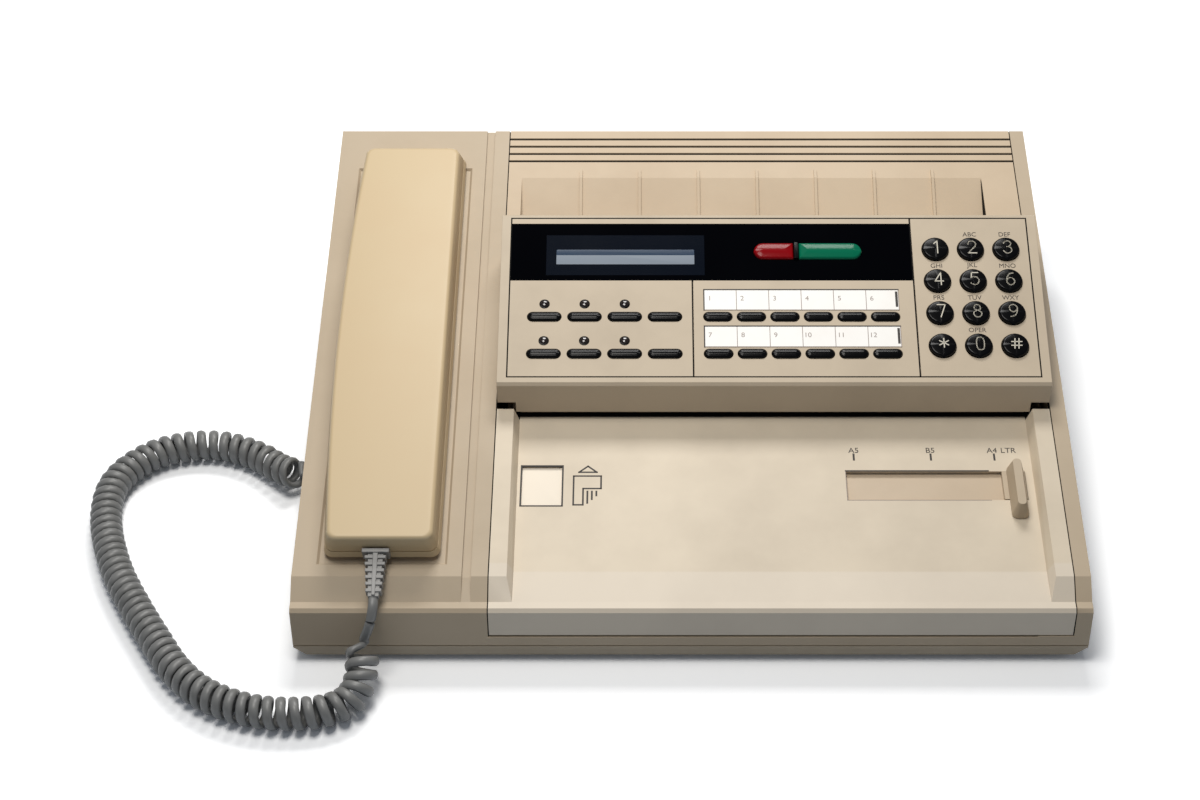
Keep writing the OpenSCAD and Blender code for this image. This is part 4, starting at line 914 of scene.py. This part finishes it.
@dataclass
class PanelFace:
    """Display, status lamps and labels of the control panel.

    Attributes:
        nodes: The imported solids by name.
    """

    nodes: dict[str, bpy.types.Object]

    lamp_d: float = 3.6
    lamp_rise: float = 6.7
    body: str = "control_panel"
    display_mid: tuple = (-28.0, 65.5)
    display_size: tuple = (62.8, 7.9)
    surround: tuple = (72.0, 21.5)
    shade_h: float = 3.0
    split_x: float = 102.5
    surround_shift: float = 1.0
    bar_half: Point2 = (1.1, 4.3)
    bar_heights: Point2 = (-1.0, 1.4)
    split_low_x: float = 2.3
    seam_w: float = 0.62
    cells: int = 6
    number_cap: float = 2.5
    number_shift: Point2 = (2.6, 0.8)

    def build(self) -> None:
        """Makes the display, the lamps, the labels, the bar between the keys and the painted shade in the
        seams.
        """
        self._display()
        for index in (1, 2, 3, 5, 6, 7):
            self._lamp(index)
        self._labels()
        self._gap_bar()
        self._seams()

    def _display(self) -> None:
        """Makes the grey display, the shade along its top and the navy border round it."""
        x, s = self.display_mid
        w, h = (v / 2 for v in self.display_size)
        slab("display_glass", PANEL, Vector((x - w, s - h, -1.2)), Vector((x + w, s + h, 0.02)),
             Look.DISPLAY, self.body)
        slab("display_shade", PANEL, Vector((x - w, s + h - self.shade_h, -1.0)),
             Vector((x + w, s + h, 0.05)), Look.DISPLAY_SHADE, self.body)
        sw, sh = (v / 2 for v in self.surround)
        edge = 0.02
        near, far = s - sh + self.surround_shift, s + sh + self.surround_shift
        border = [(x - sw, near), (x + sw, near), (x + sw, far), (x - sw, far)]
        inner = [(x - w, s - h), (x + w, s - h), (x + w, s + h), (x - w, s + h)]
        points = [PANEL.point(*p, edge) for p in border + inner]
        faces = [(i, (i + 1) % 4, 4 + (i + 1) % 4, 4 + i) for i in range(4)]
        add_piece("display_surround", points, faces, Look.DISPLAY_EDGE, self.body, smooth=False)

    def _seams(self) -> None:
        """Painted shade in the gap round the key plate and in the two lines that divide it."""
        low, high = PANEL.extent(self.nodes["key_plate"])
        floor = PANEL.extent(self.nodes["display_window"])[0].y
        reach = self.seam_w / 3
        left, right, near, far = low.x - reach, high.x + reach, low.y - reach, high.y + reach
        frame = [(left, near), (right, near), (right, far), (left, far), (left, near)]
        lines = [frame, [(self.split_x, low.y), (self.split_x, high.y)],
                 [(self.split_low_x, low.y), (self.split_low_x, floor)]]
        inscribe("plate_seams_painted_shade", PANEL, lines, self.seam_w, Look.SHADE, self.body, -0.05, 0.07)

    def _gap_bar(self) -> None:
        """Makes the black bar between the stop and the start key."""
        near, far = PANEL.extent(self.nodes["stop_key"])
        x = (far.x + PANEL.extent(self.nodes["start_key"])[0].x) / 2
        s = (far.y + near.y) / 2
        w, h = self.bar_half
        foot, top = self.bar_heights
        slab("key_divider", PANEL, Vector((x - w, s - h, foot)), Vector((x + w, s + h, top)), Look.KEY,
             self.body, radius=0.4, fillet=0.4)

    def _lamp(self, index: int) -> None:
        """Makes the lamp above a function key, with its rim.

        Args:
            index: Number of the key.
        """
        low, high = PANEL.extent(self.nodes[f"function_key_{index}"])
        centre = ((low.x + high.x) / 2, (low.y + high.y) / 2 + self.lamp_rise)
        radius = self.lamp_d / 2
        lens_d, rim_d = self.lamp_d + 0.1, self.lamp_d + 1.1
        rings = cushion_rings(lens_d, lens_d, (radius, radius), -0.6, 1.0, 0.9, 0.15)
        loft(f"status_lamp_{index}", PANEL, centre, rings, Look.LAMP, self.body)
        rim = cushion_rings(rim_d, rim_d, (radius + 0.5, radius + 0.5), -0.1, 0.25, 0.2)
        loft(f"status_lamp_rim_{index}", PANEL, centre, rim, Look.KEY, self.body)

    def _labels(self) -> None:
        """Makes the painted shade along the top and left edges, the thin lines along the foot and right end,
        the cell lines, the numbers and the end tabs of both label strips.
        """
        low, high = PANEL.extent(self.nodes["label_strips"])
        middle = (low.y + high.y) / 2
        spots = [PANEL.locate(v.co) for v in self.nodes["label_strips"].data.vertices]
        for row in (0, 1):
            part = [p for p in spots if (p[1] > middle) == (row == 0)]
            s0, s1 = min(p[1] for p in part), max(p[1] for p in part)
            top = max(p[2] for p in part)
            # painted shade along the strip's top and left edges, where its recess shades it
            stroke(f"label_painted_shade_{row + 1}", PANEL, [(high.x, s1), (low.x, s1), (low.x, s0)], 0.55, Look.PRINT,
                   self.body, n=top - 0.03, lift=0.12)
            stroke(f"label_foot_{row + 1}", PANEL, [(low.x, s0), (high.x, s0), (high.x, s1)], 0.3,
                   Look.FAINT_PRINT, self.body, n=top - 0.03, lift=0.1)
            stroke(f"label_tab_{row + 1}", PANEL, [(high.x - 0.9, s0 + 2.2), (high.x - 0.9, s1 - 1.6)], 1.1,
                   Look.PRINT, self.body, n=top - 0.03, lift=0.12)
            ink = Lettering(PANEL, Look.FAINT_PRINT, self.number_cap, self.body)
            shift_x, shift_s = self.number_shift
            for cell in range(self.cells):
                x = low.x + (high.x - low.x) * cell / self.cells
                if cell:
                    stroke(f"label_line_{row + 1}_{cell}", PANEL, [(x, s0 + 0.3), (x, s1 - 0.3)], 0.3,
                           Look.FAINT_PRINT, self.body, n=top - 0.02)
                ink.write(f"label_number_{row + 1}_{cell + 1}", str(cell + 1 + row * self.cells),
                          x + shift_x, (s0 + s1) / 2 + shift_s, top - 0.01)


@dataclass
class TableMarks:
    """Printed marks, the paper window and the painted shade and shadows of the document table."""

    body: str = "table"
    left: float = -75.1
    sheets: tuple = (("A5", 148.0, 0.0), ("B5", 182.0, 0.0), ("A4", 210.0, -0.8), ("LTR", 216.0, 0.6))
    ticks: tuple = (59.8, 62.8)
    label_s: float = 65.0
    line: float = 0.75
    slot: tuple = ((68.9, 37.8), (147.4, 53.4))
    slot_hidden: float = 16.0
    document_slot_painted_shade: tuple = ((-76.0, 85.3), (151.5, 85.3))
    rail_foot: tuple = ((151.3, 84.0), (151.3, 0.8))
    pane: tuple = ((-73.4, 34.6, -1.6), (-55.2, 56.4, -1.2))
    arrow: tuple = ((-48.1, 52.9), (-40.3, 52.9), (-44.2, 56.2))
    page: tuple = ((-50.4, 50.8), (-38.4, 50.8), (-38.4, 44.0), (-46.2, 44.0), (-46.2, 35.2), (-50.4, 35.2))
    text_lines: tuple = ((-44.3, 6.2), (-42.35, 4.2), (-40.4, 2.2))
    text_top: float = 42.4

    def build(self) -> None:
        """Makes the size marks, the feed symbol, the window pane and the slots."""
        ink = Lettering(TABLE, Look.PRINT, 2.9, self.body)
        for name, width, shift in self.sheets:
            x = self.left + width
            ink.write("size_" + name, name, x + shift, self.label_s)
            if name != "LTR":
                stroke("tick_" + name, TABLE, [(x, s) for s in self.ticks], 0.9, Look.PRINT, self.body)
        self._symbol()
        self._window()
        self._slots()

    def _slots(self) -> None:
        """Makes the guide slot's floor, with a painted shadow along its back edge and painted shade along its
        left and front edges, the painted shade in the document slot and the painted shadow line at the rail's
        foot.
        """
        (left, near), (right, far) = self.slot
        end = right - self.slot_hidden
        slab("guide_slot_floor", TABLE, Vector((left + 0.1, near + 0.1, -2.19)),
             Vector((right, far - 0.1, -2.09)), Look.SLOT, self.body)
        # painted shadow of the slot's back edge
        stroke("guide_slot_back_painted_shadow", TABLE, [(left, far + 0.25), (end, far + 0.25)], 0.7, Look.PRINT, self.body)
        # painted shade along the slot's left and front edges
        outline = [(left - 0.1, far), (left - 0.1, near - 0.1), (end, near - 0.1)]
        stroke("guide_slot_edge_painted_shade", TABLE, outline, 0.3, Look.FAINT_PRINT, self.body)
        # painted shade in the document slot's opening
        stroke("document_slot_painted_shade", TABLE, self.document_slot_painted_shade, 2.7, Look.SHADE, self.body)
        # painted shadow of the rail along its foot
        stroke("rail_foot", TABLE, self.rail_foot, 0.55, Look.PRINT, self.body)

    def _symbol(self) -> None:
        """Feed symbol: an arrow head over a page with a turned corner and lines."""
        stroke("symbol_arrow", TABLE, self.arrow, self.line, Look.PRINT, self.body, closed=True)
        stroke("symbol_page", TABLE, self.page, self.line, Look.PRINT, self.body, closed=True)
        for k, (x, length) in enumerate(self.text_lines):
            spots = [(x, self.text_top), (x, self.text_top - length)]
            stroke(f"symbol_line_{k + 1}", TABLE, spots, 0.8, Look.PRINT, self.body)

    def _window(self) -> None:
        """Clear pane's white backing and painted shade round the hole, from the edges of its recess."""
        low, high = (Vector(p) for p in self.pane)
        slab("window_pane", TABLE, low, high, Look.PAPER, self.body)
        frame = [(low.x, low.y), (high.x, low.y), (high.x, high.y), (low.x, high.y)]
        stroke("window_painted_shade", TABLE, frame, 0.7, Look.PRINT, self.body, True, -0.5, 0.56)


@dataclass
class Handset:
    """The handset's two shells and painted shade in the seam between them."""

    middle: float = -130.4
    front: float = 8.6
    length: float = 233.5
    bow: float = 4.2
    width: float = 44.2
    flare: float = 2.5
    tail: float = 6.5
    parting: float = 5.5
    top: float = 16.0
    rest: float = 1.6
    corner: float = 4.2
    edge: float = 1.6
    body: str = "handset"

    def build(self) -> None:
        """Makes the shell, the tray and the painted shade in the seam."""
        self._shell("handset_shell", self.parting + 0.25, self.top, self.edge, "handset_upper_shell")
        self._shell("handset_tray", self.rest, self.parting - 0.15, 0.3, "")
        self._seam()

    def _outline(self, n: float, inset: float) -> tuple[float, list[Point2]]:
        """The handset's outline with its bowed left side.

        Args:
            n: Height above the deck.
            inset: How far the outline is pulled in.

        Returns:
            The height and the outline's points.
        """
        share = (self.top - n) / (self.top - self.rest)
        width = self.width + 2 * self.flare * share - 2 * inset
        length = self.length - self.tail * (1 - share) - 2 * inset
        corner = max(self.corner - inset * 0.5, 0.5)
        outline = pill_outline(width, length, corner, corner, 9)
        rise = length / 2 - corner
        heights = [rise * (1 - k / 8) for k in range(1, 16)]
        side = [(-width / 2 - self.bow * (1 - (y / rise) ** 2), y) for y in heights]
        outline[18:18] = side  # between the two left corners of nine points each
        return n, [(x, y + length / 2 + inset) for x, y in outline]

    def _shell(self, name: str, low: float, high: float, edge: float, node: str) -> None:
        """Makes one shell.

        Args:
            name: Name of the piece.
            low: Height of its underside above the deck.
            high: Height of its top.
            edge: Radius of its upper edge.
            node: The node whose place it takes, or an empty name.
        """
        rings = [self._outline(low, 0.35), self._outline(low + 0.3, 0.0)]
        rings += [self._outline(height, inset) for height, inset in edge_levels(high, edge, 7)]
        piece = loft(name, DECK, (self.middle, self.front), rings, Look.HANDSET, self.body)
        if node:
            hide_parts(node)

    def _seam(self) -> None:
        """Makes painted shade: a dark line in the seam between the shells."""
        rings = [self._outline(self.parting - 0.5, 0.5), self._outline(self.parting + 0.5, 0.5)]
        loft("handset_seam_painted_shade", DECK, (self.middle, self.front), rings, Look.SHADE, self.body)


@dataclass
class CurlyCord:
    """The handset cord: a flat lead, the wound stretch and a short lead to its jack."""

    coil_d: float = 14.4
    strand_w: float = 4.3
    strand_t: float = 3.0
    pitch: float = 5.15
    body: str = "case"
    boot_end: tuple = (-132.2, -134.8, 35.8)
    lead: tuple = ((-132.2, -138.6, 34.5), (-133.2, -142.2, 30), (-134.8, -143.1, 25),
                   (-136.4, -143.6, 20.9), (-136.9, -144.9, 18.6))
    coil: tuple = ((-137, -147.5, 17.1), (-137.2, -153.5, 13.8), (-138.2, -160, 10), (-142.5, -167, 7.8),
                   (-153, -172, 7.4), (-171, -173, 7.4), (-188, -169.4, 7.4), (-204, -161.2, 7.4),
                   (-216.5, -149, 7.4), (-227, -133.4, 7.4), (-239, -114, 7.4), (-250, -94, 7.4),
                   (-258, -73.5, 7.4), (-262, -56, 7.4), (-262, -40.5, 7.4), (-256.4, -28, 7.4),
                   (-245, -17.5, 7.4), (-230, -12.5, 7.4), (-214, -12.8, 7.4), (-198, -19.5, 7.4),
                   (-186.5, -29, 8.6), (-177, -36.4, 12))
    jack: tuple = ((-174.6, -38.1, 13.1), (-172.2, -38.5, 14.6), (-169.9, -38.5, 16))
    jack_plug: tuple = ((-170.0, -43.0, 13.0), (-166.6, -34.0, 19.0))
    still_to: tuple = (-0.2027, -0.0744, 0.01)
    lifted_from: tuple = (-0.1429, -0.1432, 0.01)
    first_turn: float = 100.0
    end_spread: float = 0.018

    def build(self) -> None:
        path = self._path()
        points, faces = self._tube(path)
        cord = place_mesh(face_mesh("handset_cord", points, faces), Look.CORD)
        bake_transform(cord)
        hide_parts("cord_lead", "cord_coil")
        plug = self._plug()

    def _path(self) -> list[Vector]:
        """The strand's own line: lead, helix and jack end.

        Returns:
            The line's points, in metres.
        """
        middle = smooth_route([Vector(p) for p in self.coil], 40)
        reach = [0.0]
        for a, b in zip(middle, middle[1:]):
            reach.append(reach[-1] + (b - a).length)
        total = reach[-1]
        turns = round(total / self.pitch)
        radius = (self.coil_d - self.strand_t) / 2
        per_turn = 16
        helix = []
        side = Vector((1, 0, 0))
        index = 0
        for k in range(turns * per_turn + 1):
            travel = total * self._progress(k / (turns * per_turn))
            while index < len(middle) - 2 and reach[index + 1] < travel:
                index += 1
            share = (travel - reach[index]) / max(1e-6, reach[index + 1] - reach[index])
            spot = middle[index].lerp(middle[index + 1], min(1.0, share))
            tangent = (middle[index + 1] - middle[index]).normalized()
            side = (side - tangent * side.dot(tangent)).normalized()
            other = tangent.cross(side)
            angle = 2 * math.pi * k / per_turn + math.radians(self.first_turn)
            helix.append(spot + radius * (math.cos(angle) * side + math.sin(angle) * other))
        # Both leads run through the helix's nearest points, so they meet it without a bend.
        lead = smooth_route([Vector(self.boot_end)] + [Vector(p) for p in self.lead] + helix[2:4], 6)[:-7]
        jack = smooth_route(helix[-4:-2] + [Vector(p) for p in self.jack], 6)[7:]
        return [p * MM for p in lead + helix[2:-3] + jack]

    def _progress(self, share: float) -> float:
        """Turns lie wider apart near both ends and tighter in the far loop."""
        return share + self.end_spread * math.sin(2 * math.pi * share)

    def _tube(self, path: Sequence[Vector]) -> tuple[list[Vector], list[list[int]]]:
        """Sweeps the strand's oval section along its line.

        Args:
            path: The line, in metres.

        Returns:
            The strand's points and its faces.
        """
        sides = 10
        points = []
        middle = smooth_route([Vector(p) * MM for p in self.coil], 8)
        side = Vector((0, 0, 1))
        for i, spot in enumerate(path):
            tangent = (path[min(len(path) - 1, i + 1)] - path[max(0, i - 1)]).normalized()
            # The section's flat side faces the coil's middle line; on that line it keeps its last turn.
            outward = spot - min(middle, key=lambda q: (q - spot).length_squared)
            side = outward if outward.length > 0.002 else side
            side = (side - tangent * side.dot(tangent)).normalized()
            across = tangent.cross(side)
            for k in range(sides):
                angle = 2 * math.pi * k / sides
                points.append(spot + MM / 2 * (self.strand_t * math.cos(angle) * side
                                               + self.strand_w * math.sin(angle) * across))
        return points, skin_faces(len(path), sides)

    def _plug(self) -> bpy.types.Object:
        """Makes the small moulded plug in the side of the case.

        Returns:
            The plug.
        """
        low, high = (Vector(p) for p in self.jack_plug)
        corners = [Vector((x, y, z)) * MM
                   for x in (low.x, high.x) for y in (low.y, high.y) for z in (low.z, high.z)]
        faces = [(0, 1, 3, 2), (4, 6, 7, 5), (0, 4, 5, 1), (2, 3, 7, 6), (0, 2, 6, 4), (1, 5, 7, 3)]
        plug = add_piece("cord_plug", corners, faces, Look.BOOT, self.body, smooth=False)
        round_edges(plug, 0.8)
        return plug


@dataclass
class StrainRelief:
    """The tapered boot between the handset and its lead, with ribs and a spine."""

    start: tuple = (-132.2, 8.2, 6.0)
    drop: float = 19.0
    length: float = 21.0
    widths: tuple = (9.6, 6.4)
    thick: tuple = (6.0, 4.6)
    ribs: int = 6
    body: str = "handset"

    def build(self) -> None:
        """Makes the collar, the core, the ribs and the spine as one piece."""
        points: list[Vector] = []
        faces: list[list[int]] = []
        self._box(points, faces, -0.3, 1.6, 1.22, 1.2, 1.22, 1.2)
        self._box(points, faces, 1.0, self.length, 0.72, 0.72, 0.72, 0.72)
        step = (self.length - 3.0) / self.ribs
        for k in range(self.ribs):
            start = 2.6 + k * step
            self._box(points, faces, start, start + step * 0.5, 1.0, 1.0, 0.98, 0.98)
        self._box(points, faces, 1.4, self.length - 0.4, 0.24, 1.04, 0.24, 1.04)
        piece = add_piece("cord_boot", points, faces, Look.BOOT, self.body, smooth=False)
        round_edges(piece, 0.25, 2)
        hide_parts("strain_relief")

    def _box(self, points: list[Vector], faces: list[list[int]], a: float, b: float, w0: float, h0: float,
             w1: float, h1: float) -> None:
        """Adds a tapered block to the boot.

        Args:
            points: The boot's points so far, in metres.
            faces: Its faces so far.
            a: Where the block starts along the boot.
            b: Where it ends.
            w0: Its width at the start as a share of the boot's.
            h0: Its thickness there, likewise.
            w1: Its width at the end, likewise.
            h1: Its thickness there, likewise.
        """
        start = DECK.point(*self.start)
        drop = math.radians(self.drop)
        along = Vector((0, -math.cos(drop), -math.sin(drop)))
        up = Vector((0, -math.sin(drop), math.cos(drop)))
        base = len(points)
        for place, w, h in ((a, w0, h0), (b, w1, h1)):
            share = max(0.0, place) / self.length
            width = (self.widths[0] + (self.widths[1] - self.widths[0]) * share) * w / 2
            thick = (self.thick[0] + (self.thick[1] - self.thick[0]) * share) * h / 2
            for sx, sz in ((-1, -1), (1, -1), (1, 1), (-1, 1)):
                points.append(start + (along * place + Vector((sx * width, 0, 0)) + up * sz * thick) * MM)
        faces.extend(skin_faces(2, 4, base))


@dataclass
class Studio:
    """Camera, floor and lights."""

    eye: tuple = (-22.7, -750.9, 701.2)
    pitch: float = 42.0
    focal_px: float = 2174.0
    frame_w: float = 1200.0
    middle_px: float = 637.0
    sensor: float = 36.0
    floor_unseen: tuple = (0.36, 0.41, 0.47)
    floor_seen: tuple = (1.24, 1.25, 1.27)
    world: float = 0.21
    world_tint: Colour = (0.88, 0.95, 1.05)
    boxes: tuple = (("rear_box", (0.0, 0.50, 0.88), (0.45, 0.26), 5.6, (1.0, 0.985, 0.96)),
                    ("top_box", (-0.16, -0.12, 0.98), (0.40, 0.28), 4.6, (1.0, 0.975, 0.93)))
    aim: tuple = (0, 0, 0.03)

    def build(self) -> None:
        """Makes all of it."""
        self._camera()
        self._floor()
        self._lights()

    def _camera(self) -> None:
        """Makes the camera."""
        data = bpy.data.cameras.new("camera")
        data.sensor_width = self.sensor
        data.lens = self.focal_px / self.frame_w * self.sensor
        data.shift_x = 0.5 - self.middle_px / self.frame_w
        data.clip_start = 0.05
        data.clip_end = 20
        camera = add_object("camera", data)
        camera.location = Vector(self.eye) * MM
        camera.rotation_euler = (math.radians(90 - self.pitch), 0, 0)
        bpy.context.scene.camera = camera

    def _floor(self) -> None:
        """Makes the floor."""
        mesh = bpy.data.meshes.new("floor")
        half = 4.0
        corners = [(-half, -half, 0), (half, -half, 0), (half, half, 0), (-half, half, 0)]
        mesh.from_pydata(corners, [], [(0, 1, 2, 3)])
        mesh.materials.append(self._floor_material())
        add_object("floor", mesh)

    def _floor_material(self) -> bpy.types.Material:
        """Makes a floor that is seen white, also in reflections, and throws little light on the object.

        Returns:
            The floor's material.
        """
        material = bpy.data.materials.new("studio_floor")
        material.use_nodes = True
        nodes, links = material.node_tree.nodes, material.node_tree.links
        nodes.remove(nodes["Principled BSDF"])
        path = nodes.new("ShaderNodeLightPath")
        seen = None
        for ray in ("Is Camera Ray", "Is Glossy Ray", "Is Transmission Ray"):
            if seen is None:
                seen = path.outputs[ray]
                continue
            either = nodes.new("ShaderNodeMath")
            either.operation = "MAXIMUM"
            links.new(seen, either.inputs[0])
            links.new(path.outputs[ray], either.inputs[1])
            seen = either.outputs[0]
        shades = []
        for colour in (self.floor_unseen, self.floor_seen):
            shades.append(set_inputs(nodes.new("ShaderNodeBsdfDiffuse"), {"Color": (*colour, 1.0)}))
        blend = nodes.new("ShaderNodeMixShader")
        links.new(seen, blend.inputs[0])
        links.new(shades[0].outputs[0], blend.inputs[1])
        links.new(shades[1].outputs[0], blend.inputs[2])
        links.new(blend.outputs[0], nodes["Material Output"].inputs["Surface"])
        return material

    def _lights(self) -> None:
        """Makes the world and the two soft boxes."""
        world = bpy.data.worlds.new("studio")
        world.use_nodes = True
        set_inputs(world.node_tree.nodes["Background"],
                   {"Color": (*self.world_tint, 1.0), "Strength": self.world})
        bpy.context.scene.world = world
        bpy.context.scene.view_settings.view_transform = "Standard"
        for name, place, size, power, tint in self.boxes:
            soft = bpy.data.lights.new(name, "AREA")
            soft.shape = "RECTANGLE"
            soft.size, soft.size_y = size
            soft.energy = power
            soft.color = tint
            box = add_object(name, soft)
            box.location = place
            box.rotation_euler = (Vector(self.aim) - box.location).to_track_quat("-Z", "Y").to_euler()


def main() -> None:
    """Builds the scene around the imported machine."""
    logging.basicConfig(level=logging.INFO)
    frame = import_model()
    nodes = frame["nodes"]
    for part in (Studio(), CurlyCord(), Cabinet(nodes), KeyCaps(nodes), PanelFace(nodes), TableMarks(),
                 Handset(), StrainRelief()):
        part.build()
        LOG.info("built %s", type(part).__name__)


if __name__ == "__main__":
    main()
